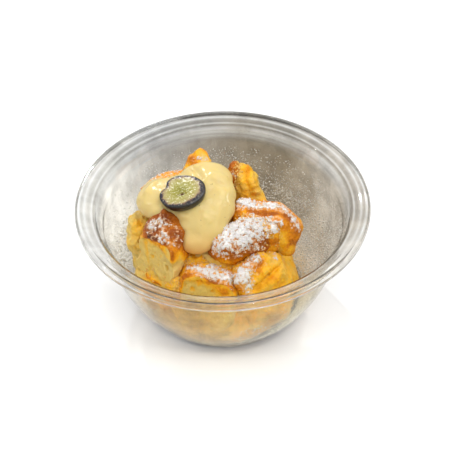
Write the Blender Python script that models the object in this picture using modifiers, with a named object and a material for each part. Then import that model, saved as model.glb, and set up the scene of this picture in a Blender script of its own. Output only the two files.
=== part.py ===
"""A portion of bread pudding in a clear plastic dessert bowl.

Torn and cut pieces of soaked, baked bread stand on a fused lower mass of
bread and custard. A spoonful of pastry cream runs down over them and carries
half a blueberry. The bowl is one thin turned shell with a stepped rim.

Frame: origin at the centre of the bowl's foot, +Z up, and the side with the
cut faces of the front pieces towards -Y. Sizes below are in millimetres.
"""

import math
from dataclasses import dataclass

import bmesh
import bpy
from mathutils import Euler, Matrix, Vector, noise

MM = 0.001

# Driving sizes of the bowl.
RIM_RADIUS = 50.5
BOWL_HEIGHT = 47.6
FOOT_RADIUS = 27.9
WALL = 0.8
TURN_STEPS = 40

# Sizes that follow from them, or that shape the rim and the foot.
SHOULDER_RADIUS = 0.832 * RIM_RADIUS
SHOULDER_HEIGHT = 0.81 * BOWL_HEIGHT
BELLY_POWER = 2.13
BELLY_POINTS = 7
FOOT_LIFT = 0.9
FOOT_RING_WIDTH = 4.4
PUNT_HEIGHT = 1.0
SKIRT = 2.2
LIP_WIDTH = 2.0
LEDGE_DROP = 1.1
LEDGE_RADIUS = 0.91 * RIM_RADIUS
STEP_RADIUS = 0.872 * RIM_RADIUS
STEP_DROP = 3.1

# The free way kept between two pieces that touch in the real pudding.
GAP = 0.3
HEADROOM = 20.0

LUMP_SCALE = 6.0
CREAM_CELL = 2.25
CREAM_SMOOTHING = 3

COLOURS = {
    "bowl": (0.83, 0.84, 0.84, 0.35),
    "crust": (0.72, 0.34, 0.09, 1.0),
    "golden": (0.86, 0.58, 0.20, 1.0),
    "crumb": (0.85, 0.74, 0.43, 1.0),
    "cream": (0.93, 0.84, 0.55, 1.0),
    "berry": (0.10, 0.09, 0.13, 1.0),
}


@dataclass(frozen=True)
class Pull:
    """A soft drag on a surface: points near at move by shift, fading over reach."""

    at: tuple
    reach: float
    shift: tuple


@dataclass(frozen=True)
class Chunk:
    """One piece of bread: a lumpy block with flat knife cuts and pulled tips.

    centre, cuts and pulls are in the object's frame. half is the block's half
    length, depth and height before it is turned by turn, in degrees. boxiness
    2 gives an ellipsoid and 6 nearly a box. A cut is a direction and how far
    from the centre the flat face lies along it.
    """

    name: str
    centre: tuple
    half: tuple
    turn: tuple = (0, 0, 0)
    boxiness: float = 3.0
    lumps: float = 0.8
    seed: int = 0
    cells: int = 5
    cuts: tuple = ()
    pulls: tuple = ()
    colour: str = "golden"


@dataclass(frozen=True)
class Blob:
    """One lobe of the spooned cream."""

    centre: tuple
    radii: tuple
    turn: tuple = (0, 0, 0)


# In this order a piece keeps its full form, and the later ones make room.
CHUNKS = (
    Chunk(
        "chunk_centre",
        centre=(5.4, -10.0, 36.0),
        half=(11.2, 6.2, 5.8),
        turn=(16, -13, 12),
        boxiness=2.6,
        lumps=0.9,
        seed=3,
        colour="crust",
    ),
    Chunk(
        "chunk_front_middle",
        centre=(-6.2, -20.4, 20.3),
        half=(10.6, 8.4, 11.6),
        turn=(-14, 4, -4),
        boxiness=4.0,
        lumps=0.8,
        seed=19,
        cuts=(((-0.10, -0.97, 0.22), 5.6),),
        pulls=(
            Pull((3.0, -24.0, 29.0), 6.0, (-1.2, -1.2, -2.4)),
            Pull((-15.0, -24.0, 28.0), 5.0, (0.6, 1.0, -1.6)),
        ),
        colour="crust",
    ),
    Chunk(
        "chunk_left_low",
        centre=(-23.4, -12.6, 16.6),
        half=(6.0, 8.0, 8.8),
        turn=(-10, -10, 40),
        boxiness=2.8,
        lumps=1.2,
        seed=83,
        cells=4,
        colour="crumb",
    ),
    Chunk(
        "chunk_front_left",
        centre=(-20.0, -10.4, 28.0),
        half=(7.8, 9.0, 15.0),
        turn=(-22, -4, -40),
        boxiness=3.8,
        lumps=0.9,
        seed=11,
        cuts=(((-0.62, -0.76, 0.18), 6.2), ((0.86, -0.2, -0.46), 5.0)),
        pulls=(
            Pull((-20.2, -4.5, 43.0), 3.6, (0.6, 0.4, 3.4)),
            Pull((-15.0, -19.0, 33.0), 5.0, (1.0, -1.4, -0.6)),
        ),
        colour="crust",
    ),
    Chunk(
        "chunk_right",
        centre=(14.9, -1.2, 35.2),
        half=(11.8, 7.2, 7.8),
        turn=(-8, 12, -2),
        boxiness=3.0,
        lumps=0.8,
        seed=27,
        cells=6,
        pulls=(
            Pull((14.0, -8.9, 36.8), 3.2, (0, 2.0, 0.2)),
            Pull((14.0, -9.4, 33.4), 3.6, (0, -1.8, 0.2)),
            Pull((13.0, 2.0, 44.0), 4.4, (0, 0, -1.6)),
            Pull((24.5, -6.0, 30.0), 6.0, (0.2, -2.4, -1.4)),
        ),
        colour="crust",
    ),
    Chunk(
        "chunk_front_right",
        centre=(12.0, -15.2, 17.6),
        half=(10.0, 10.4, 14.4),
        turn=(-10, 8, 28),
        boxiness=2.9,
        lumps=1.1,
        seed=35,
        cells=6,
        pulls=(
            Pull((5.4, -20.6, 28.0), 5.0, (-0.8, -1.2, 2.4)),
            Pull((11.5, -14.0, 33.5), 5.0, (0.0, 0.6, 1.6)),
        ),
    ),
    Chunk(
        "chunk_back_top",
        centre=(-9.6, 19.8, 39.8),
        half=(5.4, 4.4, 8.4),
        turn=(8, 16, -12),
        boxiness=2.8,
        lumps=0.7,
        seed=43,
        cells=4,
        pulls=(Pull((-7.4, 22.6, 47.4), 3.6, (0.4, 1.4, 3.2)),),
        colour="crust",
    ),
    Chunk(
        "crust_tip",
        centre=(4.5, 15.4, 40.6),
        half=(2.6, 2.6, 6.0),
        turn=(-14, 4, 10),
        boxiness=2.4,
        lumps=0.4,
        seed=51,
        cells=3,
        pulls=(Pull((4.8, 17.6, 46.4), 2.6, (0.0, 0.6, 1.8)),),
        colour="crust",
    ),
    Chunk(
        "chunk_back_right",
        centre=(9.2, 13.4, 34.6),
        half=(5.6, 5.6, 10.8),
        turn=(-14, -4, 18),
        boxiness=2.5,
        lumps=1.2,
        seed=59,
        cells=4,
        pulls=(Pull((8.0, 18.0, 44.0), 3.6, (-0.4, 0.4, 2.2)),),
    ),
    Chunk(
        "chunk_back_left",
        centre=(-18.6, 13.6, 36.2),
        half=(9.6, 5.6, 8.6),
        turn=(-12, -14, 26),
        boxiness=3.2,
        lumps=0.8,
        seed=67,
        cells=4,
        colour="crust",
    ),
    Chunk(
        "chunk_left",
        centre=(-27.6, 0.4, 25.4),
        half=(5.4, 7.2, 11.0),
        turn=(-6, -8, 6),
        boxiness=2.8,
        lumps=1.3,
        seed=75,
        cells=4,
        colour="crumb",
    ),
)

# The fused lower mass, as (radius, height) up its side to the top of the heap.
MASS_LINE = (
    (23.4, 2.1),
    (26.0, 4.6),
    (27.8, 8.0),
    (27.6, 11.5),
    (25.2, 15.0),
    (21.6, 18.5),
    (18.8, 23.0),
    (16.6, 28.0),
    (13.0, 32.6),
    (7.4, 35.4),
)
MASS_TOP = 36.2
MASS_CENTRE = (-1.4, -0.6)
MASS_SIDES = 26
MASS_LUMPS = 1.4
MASS_SEED = 91

CREAM = (
    Blob((-21.6, 4.6, 43.0), (8.8, 10.2, 5.6), (-6, -12, 10)),
    Blob((-5.4, 11.6, 45.4), (9.8, 9.8, 5.4), (-12, 4, 0)),
    Blob((-6.8, 0.4, 43.6), (11.8, 9.4, 5.2), (10, 6, 0)),
    Blob((-7.0, -7.2, 39.6), (9.0, 6.8, 5.2), (32, 4, 0)),
    Blob((-9.2, -11.4, 36.0), (6.6, 4.0, 5.0), (30, 0, 0)),
)

BERRY_CENTRE = (-13.7, -0.2, 50.4)
BERRY_RADII = (7.8, 7.2, 6.4)
BERRY_TURN = (7, -9, 14)
BERRY_FACE = 0.4
BERRY_NOTCH = Pull((-6.2, 5.4, 0.0), 3.0, (1.3, -1.2, 0.0))
BERRY_RINGS = 8
BERRY_SIDES = 24


def clear_scene():
    """Removes whatever the opened file holds."""
    for obj in list(bpy.data.objects):
        bpy.data.objects.remove(obj)


def new_collection(name, shown=True):
    """Makes a collection in the scene; one that isn't shown is left out of renders."""
    made = bpy.data.collections.new(name)
    made.hide_render = not shown
    bpy.context.scene.collection.children.link(made)
    return made


def new_material(name, colour, roughness, transmission=0.0):
    """A Principled material of one colour."""
    material = bpy.data.materials.new(name)
    material.use_nodes = True
    shader = material.node_tree.nodes["Principled BSDF"]
    shader.inputs["Base Color"].default_value = (*colour[:3], 1.0)
    shader.inputs["Roughness"].default_value = roughness
    shader.inputs["Metallic"].default_value = 0.0
    shader.inputs["Transmission Weight"].default_value = transmission
    material.diffuse_color = colour
    return material


def place(bm, name, collection, material):
    """Writes a bmesh in millimetres to a new object in metres, in flat triangles."""
    bmesh.ops.scale(bm, vec=(MM, MM, MM), verts=bm.verts)
    bmesh.ops.triangulate(bm, faces=bm.faces)
    bmesh.ops.recalc_face_normals(bm, faces=bm.faces)
    mesh = bpy.data.meshes.new(name)
    bm.to_mesh(mesh)
    bm.free()
    mesh.materials.append(material)
    mesh.shade_smooth()
    obj = bpy.data.objects.new(name, mesh)
    collection.objects.link(obj)
    return obj


def turned(degrees):
    """The rotation matrix for turns in degrees about X, then Y, then Z."""
    return Euler([math.radians(angle) for angle in degrees]).to_matrix()


# ---------------------------------------------------------------- the bowl


def belly_radius(height):
    """The bowl's outer radius at a height between the foot and the shoulder."""
    share = (height - FOOT_LIFT) / (SHOULDER_HEIGHT - FOOT_LIFT)
    share = min(max(share, 0.0), 1.0)
    swell = 1.0 - (1.0 - share) ** BELLY_POWER
    return FOOT_RADIUS + (SHOULDER_RADIUS - FOOT_RADIUS) * swell


def bowl_profile():
    """The shell's line as (radius, height), from the lip's skirt to the axis.

    The wall's thickness goes on outside the lip and inside the belly and foot.
    """
    edge = RIM_RADIUS - WALL
    top = BOWL_HEIGHT - WALL
    crest = edge - LIP_WIDTH / 2
    rim = [
        (edge, BOWL_HEIGHT - SKIRT),
        (edge, top - 0.8),
        (edge - 0.3, top - 0.25),
        (crest, top),
        (crest - 0.9, top - 0.4),
        (LEDGE_RADIUS, top - LEDGE_DROP),
        (STEP_RADIUS, top - STEP_DROP),
        (STEP_RADIUS - 0.8, top - STEP_DROP - 1.6),
    ]
    belly = []
    for step in range(BELLY_POINTS + 1):
        height = SHOULDER_HEIGHT + (FOOT_LIFT - SHOULDER_HEIGHT) * step / BELLY_POINTS
        belly.append((belly_radius(height), height))
    ring_inside = FOOT_RADIUS - 0.9 - FOOT_RING_WIDTH
    foot = [
        (FOOT_RADIUS - 0.9, 0.0),
        (ring_inside, 0.0),
        (ring_inside - 1.0, PUNT_HEIGHT),
        (0.0, PUNT_HEIGHT),
    ]
    return rim + belly + foot


def build_bowl(collection, material):
    """The clear bowl: a turned open surface given its wall by Solidify."""
    bm = bmesh.new()
    points = [bm.verts.new((radius, 0.0, height)) for radius, height in bowl_profile()]
    for first, second in zip(points, points[1:]):
        bm.edges.new((first, second))
    bmesh.ops.scale(bm, vec=(MM, MM, MM), verts=bm.verts)
    mesh = bpy.data.meshes.new("bowl")
    bm.to_mesh(mesh)
    bm.free()
    mesh.materials.append(material)
    bowl = bpy.data.objects.new("bowl", mesh)
    collection.objects.link(bowl)

    screw = bowl.modifiers.new("turn", "SCREW")
    screw.angle = math.tau
    screw.steps = TURN_STEPS
    screw.render_steps = TURN_STEPS
    screw.use_merge_vertices = True
    screw.merge_threshold = 0.00005
    screw.use_smooth_shade = True

    wall = bowl.modifiers.new("wall", "SOLIDIFY")
    wall.thickness = WALL * MM
    wall.offset = -1.0
    wall.use_even_offset = True
    return bowl


# ------------------------------------------------------------ bread pieces


def pulled(point, pulls):
    """A point after every soft drag has moved it."""
    moved = point.copy()
    for pull in pulls:
        distance = (point - Vector(pull.at)).length
        moved += Vector(pull.shift) * math.exp(-((distance / pull.reach) ** 2))
    return moved


def block_grid(cells):
    """A cube of edge 2 whose sides are grids of cells by cells faces."""
    bm = bmesh.new()
    bmesh.ops.create_cube(bm, size=2.0)
    bmesh.ops.subdivide_edges(bm, edges=bm.edges, cuts=cells - 1, use_grid_fill=True)
    return bm


def cut_flat(bm, point, normal):
    """Slices off what lies beyond a plane and closes the flat face it leaves."""
    whole = bm.verts[:] + bm.edges[:] + bm.faces[:]
    cut = bmesh.ops.bisect_plane(
        bm, geom=whole, dist=0.02, plane_co=point, plane_no=normal, clear_outer=True
    )
    rim = [item for item in cut["geom_cut"] if isinstance(item, bmesh.types.BMEdge)]
    if rim:
        bmesh.ops.holes_fill(bm, edges=rim, sides=0)


def chunk_bmesh(chunk):
    """The lumpy block with its pulled tips and knife cuts, in millimetres."""
    bm = block_grid(chunk.cells)
    rotation = turned(chunk.turn)
    power = chunk.boxiness
    for vert in bm.verts:
        size = sum(abs(value) ** power for value in vert.co) ** (1.0 / power)
        local = Vector([v / size * h for v, h in zip(vert.co, chunk.half)])
        outward = local.normalized()
        drift = noise.noise(local / LUMP_SCALE + Vector((chunk.seed, 0.0, 0.0)))
        point = rotation @ (local + outward * chunk.lumps * 2.0 * drift)
        vert.co = pulled(point + Vector(chunk.centre), chunk.pulls)
    for direction, distance in chunk.cuts:
        normal = Vector(direction).normalized()
        cut_flat(bm, Vector(chunk.centre) + normal * distance, normal)
    return bm


def hollow_radius(height):
    """How far out the contents may reach at a height, a gap clear of the wall."""
    step = 0.1
    rise = belly_radius(height + step) - belly_radius(height - step)
    slope = rise / (2.0 * step)
    return belly_radius(height) - (WALL + GAP) * math.hypot(1.0, slope)


def build_hollow(collection):
    """The turned body of space inside the bowl that the contents are kept to."""
    floor = PUNT_HEIGHT + WALL + GAP
    top = BOWL_HEIGHT + HEADROOM
    line = [(0.0, floor)]
    for step in range(BELLY_POINTS + 1):
        height = floor + (SHOULDER_HEIGHT - floor) * step / BELLY_POINTS
        line.append((hollow_radius(height), height))
    line += [(line[-1][0], top), (0.0, top)]
    bm = bmesh.new()
    points = [bm.verts.new((radius, 0.0, height)) for radius, height in line]
    edges = [bm.edges.new(pair) for pair in zip(points, points[1:])]
    bmesh.ops.spin(
        bm,
        geom=points + edges,
        cent=(0, 0, 0),
        axis=(0, 0, 1),
        angle=math.tau,
        steps=TURN_STEPS,
        use_merge=True,
    )
    bmesh.ops.remove_doubles(bm, verts=bm.verts, dist=0.001)
    hollow = place(bm, "hollow", collection, bpy.data.materials["crumb"])
    hollow.hide_render = True
    hollow.display_type = "WIRE"
    return hollow


def keep_inside(obj, hollow):
    """Trims a piece to the space inside the bowl."""
    trim = obj.modifiers.new("inside", "BOOLEAN")
    trim.operation = "INTERSECT"
    trim.object = hollow


def build_chunk(chunk, collection, material):
    """One piece of bread as an object."""
    return place(chunk_bmesh(chunk), chunk.name, collection, material)


def mass_point(radius, height, angle):
    """A point of the lower mass's side, pushed in or out by broad lumps."""
    around = Vector((math.cos(angle), math.sin(angle), 0.0))
    place_in_noise = around * radius / LUMP_SCALE / 1.6
    place_in_noise.z = height / LUMP_SCALE + MASS_SEED
    reach = radius + MASS_LUMPS * noise.noise(place_in_noise)
    return around * reach + Vector((*MASS_CENTRE, height))


def build_mass(collection, material):
    """The fused lower mass of bread and custard that the other pieces stand on."""
    bm = bmesh.new()
    rings = []
    for radius, height in MASS_LINE:
        turns = [math.tau * side / MASS_SIDES for side in range(MASS_SIDES)]
        rings.append([bm.verts.new(mass_point(radius, height, t)) for t in turns])
    for lower, upper in zip(rings, rings[1:]):
        for side in range(MASS_SIDES):
            after = (side + 1) % MASS_SIDES
            bm.faces.new((lower[side], lower[after], upper[after], upper[side]))
    top = bm.verts.new((*MASS_CENTRE, MASS_TOP))
    for side in range(MASS_SIDES):
        bm.faces.new((rings[-1][side], rings[-1][(side + 1) % MASS_SIDES], top))
    bm.faces.new(reversed(rings[0]))
    return place(bm, "pudding_base", collection, material)


# ------------------------------------------------------- cream and berry


def evaluated_mesh(obj):
    """A new mesh of the object with its modifiers, in world space."""
    graph = bpy.context.evaluated_depsgraph_get()
    mesh = bpy.data.meshes.new_from_object(obj.evaluated_get(graph))
    mesh.transform(obj.matrix_world)
    return mesh


def build_cream(collection, material):
    """The spoonful of cream: its lobes fused by a remesh and then smoothed."""
    bm = bmesh.new()
    for blob in CREAM:
        turn = turned(blob.turn).to_4x4()
        stretch = Matrix.Diagonal((*blob.radii, 1.0))
        bmesh.ops.create_icosphere(
            bm,
            subdivisions=3,
            radius=1.0,
            matrix=Matrix.Translation(blob.centre) @ turn @ stretch,
        )
    cream = place(bm, "cream", collection, material)
    fuse = cream.modifiers.new("fuse", "REMESH")
    fuse.mode = "VOXEL"
    fuse.voxel_size = CREAM_CELL * MM
    soften = cream.modifiers.new("soften", "SMOOTH")
    soften.factor = 0.5
    soften.iterations = CREAM_SMOOTHING
    return cream


def build_berry(collection, material):
    """Half a blueberry with its cut face up and a shallow notch in its edge."""
    bm = bmesh.new()
    bmesh.ops.create_uvsphere(
        bm, u_segments=BERRY_SIDES, v_segments=BERRY_RINGS, radius=1.0
    )
    bmesh.ops.scale(bm, vec=BERRY_RADII, verts=bm.verts)
    for vert in bm.verts:
        vert.co = pulled(vert.co, (BERRY_NOTCH,))
    cut_flat(bm, (0, 0, BERRY_FACE), (0, 0, 1))
    bmesh.ops.transform(
        bm,
        matrix=Matrix.Translation(BERRY_CENTRE) @ turned(BERRY_TURN).to_4x4(),
        verts=bm.verts,
    )
    return place(bm, "blueberry_half", collection, material)


# ------------------------------------------------- making room for each other


def boxes_meet(first, second):
    """True if two meshes' bounding boxes, grown by the gap, share space."""
    for axis in range(3):
        low = [min(v.co[axis] for v in obj.data.vertices) for obj in (first, second)]
        high = [max(v.co[axis] for v in obj.data.vertices) for obj in (first, second)]
        if max(low) > min(high) + GAP * MM:
            return False
    return True


def swollen_copy(obj, collection):
    """A cutter: the piece's whole form, before it makes room, grown by the gap."""
    cutter = bpy.data.objects.new("room_for_" + obj.name, evaluated_mesh(obj))
    cutter.hide_render = True
    cutter.display_type = "WIRE"
    collection.objects.link(cutter)
    grow = cutter.modifiers.new("grow", "DISPLACE")
    grow.strength = GAP * MM
    grow.mid_level = 0.0
    return cutter


def keep_largest_part(mesh):
    """Deletes every separate part of a mesh but the one with the most vertices."""
    bm = bmesh.new()
    bm.from_mesh(mesh)
    unseen = set(bm.verts)
    parts = []
    while unseen:
        part = set()
        front = [unseen.pop()]
        while front:
            vert = front.pop()
            part.add(vert)
            linked = {edge.other_vert(vert) for edge in vert.link_edges} & unseen
            unseen -= linked
            front.extend(linked)
        parts.append(part)
    parts.sort(key=len)
    for part in parts[:-1]:
        bmesh.ops.delete(bm, geom=list(part), context="VERTS")
    bm.to_mesh(mesh)
    bm.free()


def make_room(obj, rooms):
    """Cuts a piece back from the swollen copies of the pieces placed before it."""
    for cutter in rooms:
        if not boxes_meet(obj, cutter):
            continue
        cut = obj.modifiers.new("clear_of_" + cutter.name, "BOOLEAN")
        cut.operation = "DIFFERENCE"
        cut.object = cutter
    mesh = evaluated_mesh(obj)
    keep_largest_part(mesh)
    obj.modifiers.clear()
    obj.data = mesh


def make_materials():
    """One material for each kind of thing the pudding is made of."""
    made = {}
    for name, colour in COLOURS.items():
        clear = name == "bowl"
        made[name] = new_material(
            name, colour, 0.08 if clear else 0.45, 0.9 if clear else 0.0
        )
    return made


def main():
    """Builds the whole part."""
    clear_scene()
    shown = new_collection("bread_pudding")
    cutters = new_collection("cutters")
    materials = make_materials()

    build_bowl(shown, materials["bowl"])
    pieces = [
        build_berry(shown, materials["berry"]),
        build_mass(shown, materials["crumb"]),
    ]
    for chunk in CHUNKS:
        pieces.append(build_chunk(chunk, shown, materials[chunk.colour]))
    pieces.append(build_cream(shown, materials["cream"]))

    hollow = build_hollow(cutters)
    rooms = []
    for piece in pieces:
        room = swollen_copy(piece, cutters)
        keep_inside(piece, hollow)
        make_room(piece, rooms)
        rooms.append(room)


main()
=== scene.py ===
import logging
import math
from dataclasses import dataclass
from enum import Enum

import bmesh
import bpy
import numpy as np
from mathutils import Euler, Matrix, Vector, noise


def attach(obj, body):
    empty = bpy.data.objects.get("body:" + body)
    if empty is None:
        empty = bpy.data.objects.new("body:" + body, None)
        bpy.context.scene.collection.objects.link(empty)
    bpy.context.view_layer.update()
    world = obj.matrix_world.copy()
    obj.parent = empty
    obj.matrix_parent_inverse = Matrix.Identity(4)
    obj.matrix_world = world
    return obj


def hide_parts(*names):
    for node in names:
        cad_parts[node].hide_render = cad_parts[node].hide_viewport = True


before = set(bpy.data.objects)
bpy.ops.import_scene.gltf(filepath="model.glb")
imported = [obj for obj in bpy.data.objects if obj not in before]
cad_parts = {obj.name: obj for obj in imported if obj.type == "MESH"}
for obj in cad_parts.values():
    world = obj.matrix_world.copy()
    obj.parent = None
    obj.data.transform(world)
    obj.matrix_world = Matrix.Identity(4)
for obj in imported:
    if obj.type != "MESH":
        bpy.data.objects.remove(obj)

log = logging.getLogger("bread_pudding")

MM = 0.001

Triple = tuple[float, float, float]
Pair = tuple[float, float]
Stops = tuple[tuple[float, Triple], ...]
Amount = float | np.ndarray
Socket = bpy.types.NodeSocket
Sockets = bpy.types.NodeInputs | bpy.types.NodeOutputs
Value = float | bpy.types.NodeSocket


# ------------------------------------------------------------------ helpers


def smoothstep(low: float, high: float, values: np.ndarray) -> np.ndarray:
    """0 below low, 1 above high and a smooth rise between them."""
    share = np.clip((values - low) / (high - low), 0.0, 1.0)
    return share * share * (3.0 - 2.0 * share)


def mix(low: Amount, high: Amount, share: Amount) -> Amount:
    """The value a share of the way from low to high."""
    return low + (high - low) * share


def turned(degrees: Triple) -> Matrix:
    """The rotation for turns in degrees about X, then Y, then Z."""
    return Euler([math.radians(angle) for angle in degrees]).to_matrix()


def from_segment(points: np.ndarray, start: Triple, end: Triple) -> np.ndarray:
    """How far each point is from the line between two ends.

    Args:
        points: One point on each row.
        start: The line's first end.
        end: The line's other end.

    Returns:
        One distance for each point.
    """
    begin = np.array(start, float)
    along = np.array(end, float) - begin
    share = (points - begin) @ along / max(float(along @ along), 1e-9)
    nearest = begin + np.clip(share, 0.0, 1.0)[:, None] * along
    return np.linalg.norm(points - nearest, axis=1)


def angle_past(angle: np.ndarray, degrees: float) -> np.ndarray:
    """How far each angle is past a direction, from minus to plus half a turn."""
    return np.mod(angle - math.radians(degrees) + math.pi, math.tau) - math.pi


class Noise:
    """Smooth random values over space that are the same on every run."""

    corners = 256
    gain = 1.7
    layer_shift = 31.7

    def __init__(self, seed: int) -> None:
        """Draws the slopes at the grid's corners.

        Args:
            seed: Picks the pattern.
        """
        rng = np.random.default_rng(seed)
        self.order = np.tile(rng.permutation(self.corners), 2)
        slopes = rng.normal(size=(self.corners, 3))
        self.slopes = slopes / np.linalg.norm(slopes, axis=1, keepdims=True)

    def at(self, points: np.ndarray, size: float) -> np.ndarray:
        """Values that change over a given size.

        Args:
            points: One point on each row, in millimetres.
            size: The distance over which the values change, in millimetres.

        Returns:
            One value from -1 to 1 for each point.
        """
        spots = points / size
        cells = np.floor(spots).astype(int)
        inside = spots - cells
        fade = inside**3 * (inside * (inside * 6.0 - 15.0) + 10.0)
        total = np.zeros(len(points))
        for corner in range(8):
            step = np.array([corner & 1, corner >> 1 & 1, corner >> 2 & 1])
            x, y, z = ((cells + step) & (self.corners - 1)).T
            key = self.order[self.order[self.order[x] + y] + z]
            weight = np.prod(np.where(step, fade, 1.0 - fade), axis=1)
            total += weight * ((inside - step) * self.slopes[key]).sum(1)
        return np.clip(total * self.gain, -1.0, 1.0)

    def layers(self, points: np.ndarray, size: float, count: int = 3) -> np.ndarray:
        """A few sizes of noise added up, each half as large as the last.

        Args:
            points: One point on each row, in millimetres.
            size: The size of the largest layer, in millimetres.
            count: How many layers are added.

        Returns:
            One value from -1 to 1 for each point.
        """
        total = np.zeros(len(points))
        for layer in range(count):
            total += self.at(points + self.layer_shift * layer, size / 2**layer) / 2**layer
        return total / (2.0 - 0.5 ** (count - 1))


def add_to_scene(
    name: str, mesh: bpy.types.Mesh, material: bpy.types.Material
) -> bpy.types.Object:
    """Gives a mesh its material and an object in the scene.

    Args:
        name: The object's name.
        mesh: The mesh, in metres.
        material: Its finish.

    Returns:
        The new object.
    """
    mesh.shade_smooth()
    mesh.materials.append(material)
    obj = bpy.data.objects.new(name, mesh)
    bpy.context.scene.collection.objects.link(obj)
    log.info("%s: %d faces", name, len(mesh.polygons))
    return obj


class Form:
    """A closed surface in millimetres with painted values on its points."""

    def __init__(self, bm: bmesh.types.BMesh) -> None:
        """Takes over a mesh and turns its faces outwards.

        Args:
            bm: The closed mesh, in millimetres.
        """
        bmesh.ops.recalc_face_normals(bm, faces=bm.faces)
        self.bm = bm
        self.bm.verts.ensure_lookup_table()
        self.paint: dict[str, np.ndarray] = {}

    def points(self) -> np.ndarray:
        """The places of all points."""
        return np.array([vert.co[:] for vert in self.bm.verts])

    def move_to(self, points: np.ndarray) -> None:
        """Puts every point at its new place."""
        for vert, place in zip(self.bm.verts, points.tolist()):
            vert.co = place

    def normals(self) -> np.ndarray:
        """The outward directions at all points."""
        self.bm.normal_update()
        return np.array([vert.normal[:] for vert in self.bm.verts])

    def push(self, heights: np.ndarray) -> None:
        """Moves every point out along its normal by its own height."""
        self.move_to(self.points() + self.normals() * heights[:, None])

    def relax(self, rounds: int) -> None:
        """Evens the surface out.

        Args:
            rounds: How many times each point moves half way to its neighbours.
        """
        for _ in range(rounds):
            bmesh.ops.smooth_vert(
                self.bm,
                verts=self.bm.verts,
                factor=0.5,
                use_axis_x=True,
                use_axis_y=True,
                use_axis_z=True,
            )

    def to_object(self, name: str, material: bpy.types.Material) -> bpy.types.Object:
        """Writes the form to an object in metres, with its painted values.

        Args:
            name: The piece's name.
            material: Its finish.

        Returns:
            The finished piece.
        """
        bmesh.ops.scale(self.bm, vec=(MM, MM, MM), verts=self.bm.verts)
        mesh = bpy.data.meshes.new(name)
        self.bm.to_mesh(mesh)
        self.bm.free()
        for label, values in self.paint.items():
            layer = mesh.attributes.new(label, "FLOAT", "POINT")
            layer.data.foreach_set("value", values.astype(np.float32))
        return add_to_scene(name, mesh, material)


def grid_block(cells: int) -> bmesh.types.BMesh:
    """A cube whose sides are grids of faces.

    Args:
        cells: How many faces each side has along an edge.

    Returns:
        The cube, of edge 2.
    """
    bm = bmesh.new()
    bmesh.ops.create_cube(bm, size=2.0)
    bmesh.ops.subdivide_edges(bm, edges=bm.edges, cuts=cells - 1, use_grid_fill=True)
    return bm


def spun(section: list[Pair], sides: int) -> bmesh.types.BMesh:
    """A closed shape turned about the Z axis.

    Args:
        section: Radius and height of each point, starting and ending on the axis.
        sides: How many sides the turned shape has.

    Returns:
        The turned shape in millimetres.
    """
    bm = bmesh.new()
    points = [bm.verts.new((radius, 0.0, height)) for radius, height in section]
    edges = [bm.edges.new(pair) for pair in zip(points, points[1:])]
    bmesh.ops.spin(
        bm,
        geom=points + edges,
        cent=(0, 0, 0),
        axis=(0, 0, 1),
        angle=math.tau,
        steps=sides,
        use_merge=True,
    )
    bmesh.ops.remove_doubles(bm, verts=bm.verts, dist=0.0005)
    return bm


# ---------------------------------------------------------------- materials


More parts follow.
